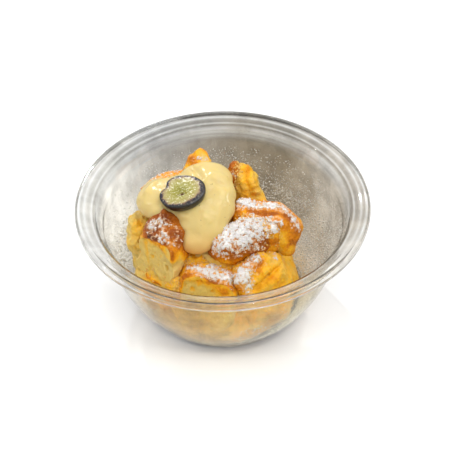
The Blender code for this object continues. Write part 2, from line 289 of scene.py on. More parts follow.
class NodeTree:
    """A material and short ways to add and join its shader nodes."""

    def __init__(self, name: str) -> None:
        """Starts a material.

        Args:
            name: The material's name.
        """
        self.material = bpy.data.materials.new(name)
        self.material.use_nodes = True
        self.tree = self.material.node_tree
        self.shader = self.tree.nodes["Principled BSDF"]
        self.output = self.tree.nodes["Material Output"]

    def node(self, kind: str, **settings: str | bool) -> bpy.types.Node:
        """Adds a node.

        Args:
            kind: The node's type.
            **settings: Properties to set on it.

        Returns:
            The new node.
        """
        made = self.tree.nodes.new(kind)
        for key, value in settings.items():
            setattr(made, key, value)
        return made

    def link(self, source: Socket, target: Socket) -> None:
        """Joins an output to an input."""
        self.tree.links.new(source, target)

    def put(self, target: Socket, value: Value | tuple[float, ...]) -> None:
        """Fills one input.

        Args:
            target: The input.
            value: A plain value to set, or an output to join to it.
        """
        if isinstance(value, Socket):
            self.link(value, target)
        else:
            target.default_value = value

    def settle(self, **values: float) -> None:
        """Sets plain values on the shader's own sockets, with _ for a space."""
        for name, value in values.items():
            self.shader.inputs[name.replace("_", " ")].default_value = value

    def wire(
        self,
        kind: str,
        inputs: dict[int | str, Value | tuple[float, ...]],
        output: int | str = 0,
        **settings: str | bool,
    ) -> Socket:
        """Adds a node and fills its inputs.

        Args:
            kind: The node's type.
            inputs: What goes into its inputs, by number or name.
            output: Which output is wanted.
            **settings: Properties to set on the node.

        Returns:
            The wanted output.
        """
        made = self.node(kind, **settings)
        for key, value in inputs.items():
            self.put(made.inputs[key], value)
        return made.outputs[output]

    def attribute(self, name: str) -> Socket:
        """The painted value of a name."""
        return self.wire("ShaderNodeAttribute", {}, "Fac", attribute_name=name)

    def spots(self) -> Socket:
        """The place on the object, in metres."""
        return self.wire("ShaderNodeTexCoord", {}, "Object")

    def noise(self, scale: float, detail: float = 2.0, over: Socket | None = None) -> Socket:
        """Noise from 0 to 1 over the object, or over another place or direction."""
        fill = {"Vector": self.spots() if over is None else over, "Scale": scale}
        return self.wire("ShaderNodeTexNoise", {**fill, "Detail": detail}, "Fac")

    def drift(self, scale: float, detail: float) -> Socket:
        """Noise over the object that is centred on zero."""
        return self.maths("SUBTRACT", self.noise(scale, detail), 0.5)

    def maths(
        self, operation: str, first: Value, second: Value = 0.0, clamp: bool = False
    ) -> Socket:
        """One sum on two values, kept between 0 and 1 where clamp is set."""
        settings = {"operation": operation, "use_clamp": clamp}
        return self.wire("ShaderNodeMath", {0: first, 1: second}, **settings)

    def plus(self, first: Value, second: Value, clamp: bool = False) -> Socket:
        """Two values added."""
        return self.maths("ADD", first, second, clamp)

    def times(self, first: Value, second: Value, clamp: bool = False) -> Socket:
        """Two values multiplied."""
        return self.maths("MULTIPLY", first, second, clamp)

    def weighted(self, value: Value, weight: float, base: Value) -> Socket:
        """A value times a weight, added to another value."""
        fill = {0: value, 1: weight, 2: base}
        return self.wire("ShaderNodeMath", fill, operation="MULTIPLY_ADD")

    def spread(self, value: Value, reach: float) -> Socket:
        """A value from -reach to reach moved evenly to 0 to 1."""
        fill = {"Value": value, "From Min": -reach, "From Max": reach}
        return self.wire("ShaderNodeMapRange", fill, "Result")

    def rescale(
        self, value: Value, low: float, high: float, to_low: float = 0.0, to_high: float = 1.0
    ) -> Socket:
        """A value between low and high moved smoothly to another range.

        Args:
            value: The value to move.
            low: Where its own range starts.
            high: Where its own range ends.
            to_low: The result at and below low.
            to_high: The result at and above high.

        Returns:
            The moved value.
        """
        fill = {"From Min": low, "From Max": high, "To Min": to_low, "To Max": to_high}
        return self.wire(
            "ShaderNodeMapRange",
            {"Value": value, **fill},
            "Result",
            interpolation_type="SMOOTHSTEP",
        )

    def ramp(self, value: Value, stops: Stops) -> Socket:
        """A colour that follows a value through several stops.

        Args:
            value: The value to follow.
            stops: Each stop's place and colour.

        Returns:
            The colour.
        """
        made = self.node("ShaderNodeValToRGB")
        line = made.color_ramp
        while len(line.elements) < len(stops):
            line.elements.new(0.5)
        for element, (place, colour) in zip(line.elements, stops):
            element.position = place
            element.color = (*colour, 1.0)
        self.put(made.inputs["Fac"], value)
        return made.outputs["Color"]

    def blend(self, share: Value, first: Socket | Triple, second: Socket | Triple) -> Socket:
        """A mix of two colours.

        Args:
            share: How much of the second colour there is.
            first: The first colour.
            second: The second colour.

        Returns:
            The mixed colour.
        """
        made = self.node("ShaderNodeMix", data_type="RGBA")
        self.put(made.inputs["Factor"], share)
        for side, value in (("A", first), ("B", second)):
            colour = value if isinstance(value, Socket) else (*value, 1.0)
            self.put(self.colour_socket(made.inputs, side), colour)
        return self.colour_socket(made.outputs, "Result")

    @staticmethod
    def colour_socket(sockets: Sockets, name: str) -> Socket:
        """The colour socket of a name, among others of that name."""
        return next(s for s in sockets if s.name == name and s.type == "RGBA")

    def scaled(self, colour: Socket, gain: Value) -> Socket:
        """A colour made lighter or darker, never quite as far as white."""
        made = self.wire("ShaderNodeVectorMath", {0: colour, "Scale": gain}, operation="SCALE")
        return self.wire(
            "ShaderNodeVectorMath", {0: made, 1: (0.99, 0.985, 0.98)}, operation="MINIMUM"
        )

    def bump(self, height: Socket, strength: float, distance: float) -> None:
        """Fine relief with a full height, distance, in metres."""
        fill = {"Strength": strength, "Distance": distance, "Height": height}
        self.link(self.wire("ShaderNodeBump", fill), self.shader.inputs["Normal"])

    def scatter(self, weight: float, radius: Triple, scale: float) -> None:
        """Light that passes under the surface.

        Args:
            weight: How much of the light does so.
            radius: How far red, green and blue reach, against the scale.
            scale: The reach in metres.
        """
        self.settle(Subsurface_Weight=weight, Subsurface_Scale=scale)
        self.shader.inputs["Subsurface Radius"].default_value = radius

    def finished(self, colour: Socket) -> bpy.types.Material:
        """Gives the shader its colour and hands over the material."""
        self.link(colour, self.shader.inputs["Base Color"])
        return self.material


@dataclass(frozen=True)
class BreadFinish:
    """Bread from pale custard-soaked crumb to dark crust, under powdered sugar.

    The painted value bake runs from 0, pale crumb, to 1, the darkest crust, and
    the painted value sugar is how thickly the powder lies.
    """

    stops: Stops = (
        (0.0, (0.74, 0.54, 0.175)),
        (0.09, (0.75, 0.53, 0.140)),
        (0.18, (0.80, 0.48, 0.070)),
        (0.3, (0.90, 0.46, 0.018)),
        (0.45, (0.74, 0.26, 0.006)),
        (0.62, (0.47, 0.132, 0.007)),
        (0.8, (0.30, 0.068, 0.009)),
        (1.0, (0.11, 0.024, 0.008)),
    )
    sugar: Triple = (0.91, 0.87, 0.84)
    damp_sugar: Triple = (0.86, 0.55, 0.30)

    def crust(self, nodes: NodeTree) -> Socket:
        """The bread's own colour, uneven as far as it is browned.

        Args:
            nodes: The material's nodes.

        Returns:
            The colour.
        """
        both = nodes.weighted(nodes.drift(1500.0, 3.0), 0.9, nodes.drift(380.0, 5.0))
        change = nodes.rescale(nodes.attribute("bake"), 0.06, 0.3, 0.08, 0.3)
        bake = nodes.plus(nodes.attribute("bake"), nodes.times(both, change))
        return nodes.ramp(bake, self.stops)

    def build(self) -> bpy.types.Material:
        """Makes the material.

        Returns:
            The material.
        """
        nodes = NodeTree("bread")
        cover = nodes.weighted(nodes.drift(2100.0, 3.0), 1.15, nodes.attribute("sugar"))
        some = nodes.rescale(nodes.attribute("sugar"), 0.0, 0.2, 0.0, 0.72)
        damp = nodes.times(nodes.rescale(cover, 0.0, 0.5), some)
        colour = nodes.blend(damp, self.crust(nodes), self.damp_sugar)
        dust = nodes.rescale(cover, 0.44, 0.74)
        rough = nodes.rescale(nodes.attribute("bake"), 0.1, 0.6, 0.34, 0.22)
        rough = nodes.weighted(nodes.drift(520.0, 3.0), 0.4, rough)
        rough = nodes.plus(rough, nodes.times(dust, 0.45), clamp=True)
        nodes.link(rough, nodes.shader.inputs["Roughness"])
        nodes.settle(Specular_IOR_Level=0.16)
        nodes.scatter(0.18, (1.0, 0.55, 0.25), 0.001)
        nodes.bump(nodes.weighted(dust, 0.7, nodes.noise(1300.0, 4.0)), 0.9, 0.0005)
        return nodes.finished(nodes.blend(dust, colour, self.sugar))


@dataclass(frozen=True)
class PlainFinish:
    """One even colour with a little relief, for small scattered things."""

    name: str
    colour: Triple
    roughness: float = 0.5
    scattering: float = 0.0

    def build(self) -> bpy.types.Material:
        """Makes the material.

        Returns:
            The material.
        """
        nodes = NodeTree(self.name)
        dark = tuple(0.8 * part for part in self.colour)
        nodes.settle(Roughness=self.roughness)
        nodes.scatter(self.scattering, (1.0, 0.8, 0.6), 0.0006)
        return nodes.finished(nodes.blend(nodes.noise(900.0), dark, self.colour))


@dataclass(frozen=True)
class CreamFinish:
    """Smooth moist pastry cream. The painted value stain browns it where it is thin and, as
    painted shade, low down and on the lower left.
    """

    body: Triple = (0.68, 0.525, 0.205)
    # The stained colour browns thin edges and serves as painted shade low down and on the left.
    stain_and_shade_tint: Triple = (0.78, 0.42, 0.12)

    def build(self) -> bpy.types.Material:
        """Makes the material.

        Returns:
            The material.
        """
        nodes = NodeTree("pastry_cream")
        cloud = nodes.rescale(nodes.noise(140.0, 3.0), 0.3, 0.7)
        light = tuple(min(1.0, 1.06 * part) for part in self.body)
        colour = nodes.blend(cloud, self.body, light)
        nodes.settle(Roughness=0.2, Specular_IOR_Level=0.26)
        nodes.scatter(0.5, (1.0, 0.7, 0.3), 0.0026)
        nodes.bump(nodes.noise(520.0, 2.0), 0.35, 0.00035)
        return nodes.finished(nodes.blend(nodes.attribute("stain_and_shade"), colour, self.stain_and_shade_tint))


@dataclass(frozen=True)
class BerryFinish:
    """Dark skin and pale granular flesh with painted highlights on its grains, by the painted
    values flesh and radial.
    """

    skin: Triple = (0.010, 0.010, 0.012)
    bloom: Triple = (0.05, 0.048, 0.052)
    grains: Triple = (0.8, 0.76, 0.52)
    core: Triple = (0.10, 0.025, 0.01)
    stops: Stops = (
        (0.0, (0.22, 0.20, 0.018)),
        (0.35, (0.30, 0.27, 0.036)),
        (0.65, (0.37, 0.32, 0.08)),
        (0.88, (0.40, 0.32, 0.13)),
        (0.96, (0.20, 0.11, 0.07)),
        (1.0, (0.03, 0.02, 0.03)),
    )

    def build(self) -> bpy.types.Material:
        """Makes the material.

        Returns:
            The material.
        """
        nodes = NodeTree("blueberry")
        place = nodes.weighted(nodes.drift(500.0, 3.0), 0.4, nodes.attribute("radial"))
        # The pale flecks are the flesh's grains, lit up as painted highlights.
        glints = nodes.rescale(nodes.noise(1700.0, 1.0), 0.56, 0.7)
        flesh = nodes.blend(nodes.times(glints, 0.6), nodes.ramp(place, self.stops), self.grains)
        flesh = nodes.blend(nodes.attribute("red"), flesh, self.core)
        bloom = nodes.rescale(nodes.noise(330.0, 4.0), 0.5, 0.75)
        skin = nodes.blend(bloom, self.skin, self.bloom)
        nodes.settle(Roughness=0.28)
        nodes.bump(nodes.noise(1300.0, 2.0), 0.4, 0.0002)
        return nodes.finished(nodes.blend(nodes.attribute("flesh"), skin, flesh))


@dataclass(frozen=True)
class BowlPlaces:
    """Values that say where on the bowl a point is, for its finish.

    fade is low along the near side and 1 elsewhere, and cloud is a slow drift
    that makes every border uneven.
    """

    x: Socket
    y: Socket
    z: Socket
    radius: Socket
    cloud: Socket
    fade: Socket


@dataclass(frozen=True)
class ClearFinish:
    """Clear plastic, misted inside, tinted with painted shade and light around the wall.

    The rings are pairs of radius, as a share of the rim's, and strength. The bright rings are
    painted highlights and the dark rings painted dark reflections.
    """

    rim_radius: float = 0.0505
    # near dims at its two sides as painted shade.
    near: Stops = (
        (0.14, (0.985, 0.975, 0.94)),
        (0.27, (0.70, 0.60, 0.42)),
        (0.45, (0.78, 0.68, 0.45)),
        (0.53, (0.985, 0.92, 0.66)),
        (0.74, (0.985, 0.92, 0.66)),
        (0.86, (0.68, 0.62, 0.52)),
    )
    # left is painted light; back_left, back and right are painted shade on the wall.
    left: Triple = (0.93, 0.90, 0.82)
    back_left: Triple = (0.37, 0.365, 0.345)
    back: Triple = (0.21, 0.178, 0.13)
    right: Triple = (0.46, 0.41, 0.34)
    mist: Triple = (0.84, 0.82, 0.76)
    lip: Triple = (1.0, 0.985, 0.965)
    gold: Triple = (0.72, 0.52, 0.27)
    # foot colours the painted shadow along the foot's edge.
    foot: Triple = (0.10, 0.06, 0.03)
    # glint colours the painted highlights on the rim, and line its painted dark reflections.
    glint: Triple = (0.84, 0.86, 0.86)
    line: Triple = (0.10, 0.095, 0.08)
    shade: Triple = (0.94, 0.93, 0.91)
    flange: Pair = (0.84, 0.86)
    rim_glint_rings: tuple[Pair, ...] = (
        (0.535, 0.0),
        (0.546, 0.6),
        (0.56, 0.0),
        (0.835, 0.0),
        (0.848, 0.35),
        (0.855, 0.0),
        (0.864, 0.8),
        (0.872, 0.0),
        (0.884, 0.0),
        (0.892, 0.75),
        (0.90, 0.05),
        (0.926, 0.15),
        (0.938, 0.7),
        (0.948, 0.15),
        (0.962, 0.25),
        (0.972, 0.95),
        (0.982, 0.3),
        (1.0, 0.1),
    )
    rim_shade_rings: tuple[Pair, ...] = (
        (0.515, 0.0),
        (0.528, 0.65),
        (0.54, 0.0),
        (0.84, 0.0),
        (0.852, 0.4),
        (0.858, 0.0),
        (0.871, 0.1),
        (0.878, 0.6),
        (0.886, 0.0),
        (0.90, 0.15),
        (0.912, 0.35),
        (0.925, 0.0),
        (0.95, 0.0),
        (0.957, 0.25),
        (0.965, 0.0),
        (0.978, 0.0),
        (0.988, 0.45),
        (1.0, 0.55),
    )

    def places(self, nodes: NodeTree) -> BowlPlaces:
        """Finds where on the bowl a point is.

        Args:
            nodes: The material's nodes.

        Returns:
            The values that the other steps share.
        """
        split = nodes.node("ShaderNodeSeparateXYZ")
        nodes.link(nodes.spots(), split.inputs[0])
        x, y, z = (split.outputs[axis] for axis in "XYZ")
        across = nodes.plus(nodes.times(x, x), nodes.times(y, y))
        radius = nodes.maths("DIVIDE", nodes.maths("SQRT", across), self.rim_radius)
        fade = nodes.rescale(y, -0.047, -0.012, 0.1, 1.0)
        return BowlPlaces(x, y, z, radius, nodes.drift(75.0, 5.0), fade)

    def wall(self, nodes: NodeTree, at: BowlPlaces) -> Socket:
        """The painted tint around the wall, with mist low down and a clearer lip: painted shade at
        the back, the right and the near sides, painted light on the left.

        Args:
            nodes: The material's nodes.
            at: Where on the bowl a point is.

        Returns:
            The colour.
        """
        side = nodes.weighted(at.cloud, 0.012, at.x)
        depth = nodes.weighted(at.cloud, 0.014, at.y)
        # Painted shade darkens the back and right of the wall; painted light brightens the left.
        wall = nodes.blend(nodes.rescale(side, -0.034, 0.012), self.back_left, self.back)
        wall = nodes.blend(nodes.rescale(side, -0.046, -0.024), self.left, wall)
        wall = nodes.blend(nodes.rescale(side, 0.024, 0.042), wall, self.right)
        near = nodes.ramp(nodes.spread(side, self.rim_radius), self.near)
        mist = nodes.rescale(nodes.weighted(at.cloud, 0.01, at.z), 0.005, 0.018, 0.5, 0.0)
        wall = nodes.blend(mist, wall, self.mist)
        wall = nodes.blend(nodes.rescale(depth, -0.036, 0.0), near, wall)
        lip = nodes.times(nodes.rescale(at.radius, *self.flange), at.fade)
        lip = nodes.maths("SUBTRACT", nodes.rescale(at.radius, *self.flange), lip, True)
        return nodes.blend(lip, wall, self.lip)

    def gain(self, nodes: NodeTree, at: BowlPlaces) -> Socket:
        """How light the wall is: painted shade in the flange, painted reflections and painted mist
        glints.

        Args:
            nodes: The material's nodes.
            at: Where on the bowl a point is.

        Returns:
            What the colour is multiplied by.
        """
        # Painted shade: the flange darkens, most on the left and least on the near side.
        flange_shade = nodes.rescale(at.radius, *self.flange, 0.0, -0.34)
        sideways = nodes.rescale(at.x, -0.03, 0.0, 1.0, 0.15)
        flange = nodes.plus(nodes.times(flange_shade, nodes.times(at.fade, sideways)), 1.0)
        fill = {0: nodes.spots(), 1: (1.0, 1.0, 0.0)}
        around = nodes.wire("ShaderNodeVectorMath", fill, operation="MULTIPLY")
        outward = nodes.wire("ShaderNodeVectorMath", {0: around}, operation="NORMALIZE")
        # Painted reflections: streaks that run up the curved wall.
        reflection_streak = nodes.noise(26.0, 4.0, over=outward)
        reflection_streak = nodes.rescale(reflection_streak, 0.3, 0.7, 0.96, 1.05)
        # Painted shade: darker patches where the table shows through the wall.
        mottle = nodes.rescale(nodes.noise(150.0, 6.0), 0.3, 0.7, 0.8, 1.2)
        # Painted glints, bright and dark, of the mist drops low on the wall.
        mist_glint_speckle = nodes.rescale(nodes.noise(1500.0, 2.0), 0.35, 0.7, -0.2, 0.35)
        low = nodes.rescale(nodes.weighted(at.cloud, 0.02, at.z), 0.016, 0.03, 1.0, 0.1)
        gain = nodes.times(flange, nodes.times(mottle, reflection_streak))
        return nodes.plus(gain, nodes.times(mist_glint_speckle, low))

    def lines(self, nodes: NodeTree, at: BowlPlaces, colour: Socket) -> Socket:
        """Adds the broken lines that run round the rim: painted highlights and painted dark
        reflections.

        Args:
            nodes: The material's nodes.
            at: Where on the bowl a point is.
            colour: The colour so far.

        Returns:
            The colour with its lines.
        """
        # Painted highlights, then painted dark reflections, broken along the rim.
        for rings, tint, (scale, low, high, least) in (
            (self.rim_glint_rings, self.glint, (95.0, 0.3, 0.6, 0.55)),
            (self.rim_shade_rings, self.line, (60.0, 0.35, 0.65, 0.4)),
        ):
            broken = nodes.rescale(nodes.noise(scale, 3.0), low, high, least, 1.1)
            stops = tuple((place, (value, value, value)) for place, value in rings)
            ring = nodes.times(nodes.ramp(at.radius, stops), broken, clamp=True)
            colour = nodes.blend(nodes.times(ring, at.fade), colour, tint)
        return colour

    def lower(self, nodes: NodeTree, at: BowlPlaces, colour: Socket) -> Socket:
        """Adds the golden tint low on the wall and a painted shadow along the edge of the foot.

        Args:
            nodes: The material's nodes.
            at: Where on the bowl a point is.
            colour: The colour so far.

        Returns:
            The colour with its lower part.
        """
        uneven = nodes.weighted(at.cloud, 0.002, at.z)
        colour = nodes.blend(nodes.rescale(uneven, 0.003, 0.012, 0.75, 0.0), colour, self.gold)
        # Painted shadow along the foot's edge, where the bowl meets the ground.
        edge = nodes.rescale(uneven, 0.0016, 0.0038, 0.92, 0.0)
        edge = nodes.times(edge, nodes.rescale(at.radius, 0.49, 0.53))
        return nodes.blend(edge, colour, self.foot)

    def let_light_through(self, nodes: NodeTree) -> None:
        """Lets lamps shine through the plastic, so that it casts only a pale shadow.

        Args:
            nodes: The material's nodes.
        """
        clear = nodes.wire("ShaderNodeBsdfTransparent", {"Color": (*self.shade, 1.0)})
        shadow = nodes.wire("ShaderNodeLightPath", {}, "Is Shadow Ray")
        fill = {0: shadow, 1: nodes.shader.outputs[0], 2: clear}
        both = nodes.wire("ShaderNodeMixShader", fill)
        nodes.link(both, nodes.output.inputs["Surface"])

    def build(self) -> bpy.types.Material:
        """Makes the material.

        Returns:
            The material.
        """
        nodes = NodeTree("clear_plastic")
        at = self.places(nodes)
        colour = nodes.scaled(self.wall(nodes, at), self.gain(nodes, at))
        colour = self.lower(nodes, at, self.lines(nodes, at, colour))
        nodes.settle(Roughness=0.04, Transmission_Weight=1.0, IOR=1.46)
        nodes.bump(nodes.noise(160.0, 3.0), 0.1, 0.0005)
        self.let_light_through(nodes)
        return nodes.finished(colour)


# --------------------------------------------------------------- the bowl


@dataclass
class Bowl:
    """The clear bowl: a thin turned shell with a rolled lip and a stepped ledge.

    All sizes are in millimetres.
    """

    material: bpy.types.Material
    rim_radius: float = 50.5
    height: float = 47.6
    foot_radius: float = 27.9
    belly_power: float = 2.13
    belly_steps: int = 25
    foot_lift: float = 0.9
    base_lift: float = 1.1
    wall: float = 0.55
    sides: int = 144

    @property
    def shoulder(self) -> Pair:
        """Radius and height of the wall's top, just below the step."""
        return 0.832 * self.rim_radius, 0.81 * self.height

    def belly_radius(self, height: float) -> float:
        """The outer radius between the foot and the shoulder.

        Args:
            height: The height above the ground.

        Returns:
            The radius there.
        """
        radius, top = self.shoulder
        share = (height - self.foot_lift) / (top - self.foot_lift)
        share = min(max(share, 0.0), 1.0)
        swell = 1.0 - (1.0 - share) ** self.belly_power
        return self.foot_radius + (radius - self.foot_radius) * swell

    def rim(self) -> list[Pair]:
        """The middle of the wall from the skirt over the lip and the ledge.

        Returns:
            Radius and height of each point.
        """
        edge, top = self.rim_radius - self.wall / 2, self.height - self.wall / 2
        step = 0.872 * self.rim_radius
        return [
            (edge, top - 2.0),
            (edge, top - 1.0),
            (edge - 0.25, top - 0.3),
            (edge - 0.8, top),
            (edge - 1.5, top - 0.2),
            (edge - 2.1, top - 0.75),
            (edge - 2.9, top - 0.95),
            (step + 2.6, top - 1.2),
            (step + 1.4, top - 1.9),
            (step + 0.7, top - 2.1),
            (step + 0.1, top - 2.5),
            (step - 0.35, top - 3.3),
            (step - 0.7, top - 4.6),
        ]

    def belly(self) -> list[Pair]:
        """The middle of the wall from the shoulder down to the foot.

        Returns:
            Radius and height of each point.
        """
        radius, high = self.shoulder
        points = [(radius - self.wall / 2 + 0.15, high + 1.6)]
        for count in range(self.belly_steps + 1):
            height = high + (self.foot_lift - high) * count / self.belly_steps
            points.append((self.belly_radius(height) - self.wall / 2, height))
        return points

    def base(self) -> list[Pair]:
        """The middle of the wall from the foot's ring in to the axis.

        Returns:
            Radius and height of each point.
        """
        foot = self.foot_radius
        return [
            (foot - 0.8, 0.45),
            (foot - 1.4, self.wall / 2),
            (foot - 4.6, self.wall / 2),
            (foot - 5.4, 0.5),
            (foot - 6.0, 0.95),
            (foot - 7.5, self.base_lift),
            (foot - 14.0, self.base_lift),
            (0.0, self.base_lift),
        ]

    def section(self) -> list[Pair]:
        """The wall's outer side out to the skirt, then its inner side back.

        Returns:
            Radius and height of each point.
        """
        line = self.rim() + self.belly() + self.base()
        middle = [Vector((radius, 0.0, height)) for radius, height in line]
        outer, inner = [], []
        for index, point in enumerate(middle):
            before = middle[max(index - 1, 0)]
            after = middle[min(index + 1, len(middle) - 1)]
            along = (after - before).normalized()
            across = Vector((along.z, 0.0, -along.x)) * self.wall / 2
            if index == len(middle) - 1:
                across = Vector((0.0, 0.0, self.wall / 2))
            outer.append((point - across).xz[:])
            inner.append((point + across).xz[:])
        return outer[::-1] + inner

    def build(self) -> bpy.types.Object:
        """Turns the section into the bowl.

        Returns:
            The finished piece.
        """
        bm = spun(self.section(), self.sides)
        bowl = Form(bm).to_object("clear_bowl", self.material)
        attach(bowl, "root")
        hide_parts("bowl")
        return bowl


# ---------------------------------------------------------------- the bread


@dataclass(frozen=True)
class Pull:
    """A soft drag: points near at move by shift, fading over reach."""

    at: Triple
    reach: float
    shift: Triple


class Brush(Enum):
    """What a stroke changes: colour of the bake, sugar cover, or height."""

    BAKE = "bake"
    SUGAR = "sugar"
    HEIGHT = "height"


BAKE, SUGAR, HEIGHT = Brush.BAKE, Brush.SUGAR, Brush.HEIGHT


@dataclass(frozen=True)
class Stroke:
    """A soft line painted in space: it acts on the surface within its reach."""

    brush: Brush
    start: Triple
    end: Triple
    reach: float
    amount: float

    def over(self, points: np.ndarray) -> np.ndarray:
        """How much it adds at each point."""
        away = from_segment(points, self.start, self.end)
        return self.amount * np.exp(-((away / self.reach) ** 2))


@dataclass(frozen=True)
class Pore:
    """An air hole in a cut face, filled with darker custard."""

    at: Triple
    radius: float
    depth: float = 0.7


@dataclass(frozen=True)
class Chunk:
    """One piece of bread, in millimetres.

    It is a lumpy block with flat knife cuts and pulled tips. half is its half
    length, depth and height before it is turned, and boxiness 2 gives an
    ellipsoid and 6 nearly a box. A cut is a direction and how far along it the
    flat face lies. crust_side is the direction its baked top faces, and
    crust_from and crust_to are how far along that direction the crust starts
    and is full. node is the solid it stands for, where there is one.
    """

    name: str
    node: str
    centre: Triple
    half: Triple
    turn: Triple = (0, 0, 0)
    boxiness: float = 3.0
    lumps: float = 0.8
    seed: int = 0
    cells: int = 46
    cuts: tuple[tuple[Triple, float], ...] = ()
    pulls: tuple[Pull, ...] = ()
    crust_side: Triple = (0, 0, 1)
    crust_from: float = 0.0
    crust_to: float = 4.0
    low_bake: float = 0.12
    high_bake: float = 0.7
    sugar: float = 0.0
    folds: float = 1.0
    crinkle: float = 1.0
    mush: float = 0.0
    strokes: tuple[Stroke, ...] = ()
    pores: tuple[Pore, ...] = ()
    slot: str = "baked_crust"


@dataclass(frozen=True)
class Skin:
    """A finished piece's outer points, in millimetres, for things that lie on it."""

    points: np.ndarray
    normals: np.ndarray
    sugar: np.ndarray


class ChunkMaker:
    """Turns chunk descriptions into finished pieces of bread."""

    cut_softness = 0.45
    lump_scale = 6.0
    seed = 7

    def __init__(self, material: bpy.types.Material) -> None:
        """Keeps what all the pieces share.

        Args:
            material: The bread's finish.
        """
        self.material = material
        self.noise = Noise(self.seed)

    def shape(self, chunk: Chunk) -> tuple[Form, np.ndarray]:
        """The block with its lumps, pulls and cuts.

        Args:
            chunk: The piece.

        Returns:
            Its surface, and how much of each point is cut face.
        """
        form = Form(grid_block(chunk.cells))
        points = form.points()
        power = chunk.boxiness
        size = (np.abs(points) ** power).sum(1) ** (1.0 / power)
        local = points / size[:, None] * np.array(chunk.half)
        rotation = np.array(turned(chunk.turn))
        shift = Vector((chunk.seed, 0.0, 0.0))
        drift = [noise.noise(Vector(spot) / self.lump_scale + shift) for spot in local.tolist()]
        outward = local / np.linalg.norm(local, axis=1, keepdims=True)
        local = local + outward * (chunk.lumps * 2.0 * np.array(drift))[:, None]
        points = local @ rotation.T + np.array(chunk.centre)
        for pull in chunk.pulls:
            distance = np.linalg.norm(points - np.array(pull.at), axis=1)
            fade = np.exp(-((distance / pull.reach) ** 2))
            points = points + np.array(pull.shift) * fade[:, None]
        face = np.zeros(len(points))
        for direction, distance in chunk.cuts:
            normal = np.array(direction) / np.linalg.norm(direction)
            beyond = (points - np.array(chunk.centre)) @ normal - distance
            face = np.maximum(face, smoothstep(-0.1, self.cut_softness, beyond))
            points = points - normal * np.maximum(beyond, 0.0)[:, None]
        form.move_to(points)
        return form, face

    def painted(self, chunk: Chunk, brush: Brush, points: np.ndarray) -> np.ndarray:
        """The sum of all of a chunk's strokes of one brush.

        Args:
            chunk: The piece.
            brush: Which strokes count.
            points: Where on it, in millimetres.

        Returns:
            One amount for each point.
        """
        total = np.zeros(len(points))
        for stroke in chunk.strokes:
            if stroke.brush is brush:
                total += stroke.over(points)
        return total

    def bake(self, chunk: Chunk, points: np.ndarray, face: np.ndarray) -> np.ndarray:
        """How brown each point is.

        Args:
            chunk: The piece.
            points: Where on it, in millimetres.
            face: How much of each point is cut face.

        Returns:
            0 for pale crumb to 1 for the darkest crust.
        """
        side = np.array(chunk.crust_side) / np.linalg.norm(chunk.crust_side)
        along = (points - np.array(chunk.centre)) @ side
        along = along + 1.2 * self.noise.layers(points + chunk.seed, 5.0)
        crust = smoothstep(chunk.crust_from, chunk.crust_to, along) * (1.0 - face)
        value = mix(chunk.low_bake, chunk.high_bake, crust)
        value = value + (0.2 - 0.14 * face) * self.noise.layers(points - chunk.seed, 4.5)
        return value + self.painted(chunk, BAKE, points)

    def relief(
        self, chunk: Chunk, points: np.ndarray, face: np.ndarray, bake: np.ndarray
    ) -> tuple[np.ndarray, np.ndarray, np.ndarray]:
        """Folds and crinkles on crust, fine pits on cut crumb.

        Args:
            chunk: The piece.
            points: Where on it, in millimetres.
            face: How much of each point is cut face.
            bake: How brown each point is.

        Returns:
            The height in millimetres, the pits, and the crinkles' painted shade in hollows with
            browned ridges.
        """
        crusty = smoothstep(0.25, 0.6, bake) * (1.0 - face)
        folds = 0.5 - 2.0 * np.abs(self.noise.layers(points + chunk.seed, 4.4, 2))
        crinkle = 0.5 - 2.0 * np.abs(self.noise.layers(points + 9.0, 1.9, 3))
        height = chunk.folds * 0.5 * folds * (1.0 - 0.8 * face)
        height += crusty * chunk.crinkle * 0.3 * crinkle
        height += 0.15 * crusty + 0.14 * self.noise.layers(points, 1.1, 2)
        pits = smoothstep(0.15, 0.6, self.noise.layers(points - 20.0, 1.3, 2))
        height += chunk.mush * 0.5 * self.noise.layers(points + 60.0, 2.3, 2)
        height += face * 0.55 * self.noise.layers(points + 40.0, 4.0, 2)
        height -= face * 0.35 * pits
        # Painted shade: hollows between crinkles are browned darker; ridges get real browning at
        # half weight.
        crinkle_shade_and_brown = smoothstep(-0.3, -1.0, crinkle) + 0.5 * smoothstep(0.1, 0.45, crinkle)
        return height, pits * face, crusty * crinkle_shade_and_brown

    def dusted(
        self, chunk: Chunk, form: Form, face: np.ndarray, crease_shade_and_brown: np.ndarray
    ) -> np.ndarray:
        """How thickly powdered sugar lies: on top, in clumps and drifts.

        Args:
            chunk: The piece.
            form: Its surface.
            face: How much of each point is cut face.
            crease_shade_and_brown: The crinkles' hollows, darkened as painted shade, and their
                browned ridges; both hold less sugar.

        Returns:
            0 for none to 1 for a full cover.
        """
        points = form.points()
        sugar = chunk.sugar + self.painted(chunk, SUGAR, points)
        sugar = sugar * smoothstep(-0.25, 0.35, form.normals()[:, 2]) * (1.0 - 0.9 * face)
        clumps = self.noise.layers(points + 50.0, 1.05, 2)
        drifts = self.noise.layers(points + 80.0, 5.0, 2)
        sugar = np.clip(sugar * (1.0 + 0.4 * drifts), 0.0, 1.0)
        broken = 0.5 + 1.0 * (sugar - 0.66) + 0.8 * clumps - 0.2 * crease_shade_and_brown
        return np.clip(broken, 0.0, 1.0) * smoothstep(0.03, 0.24, sugar)

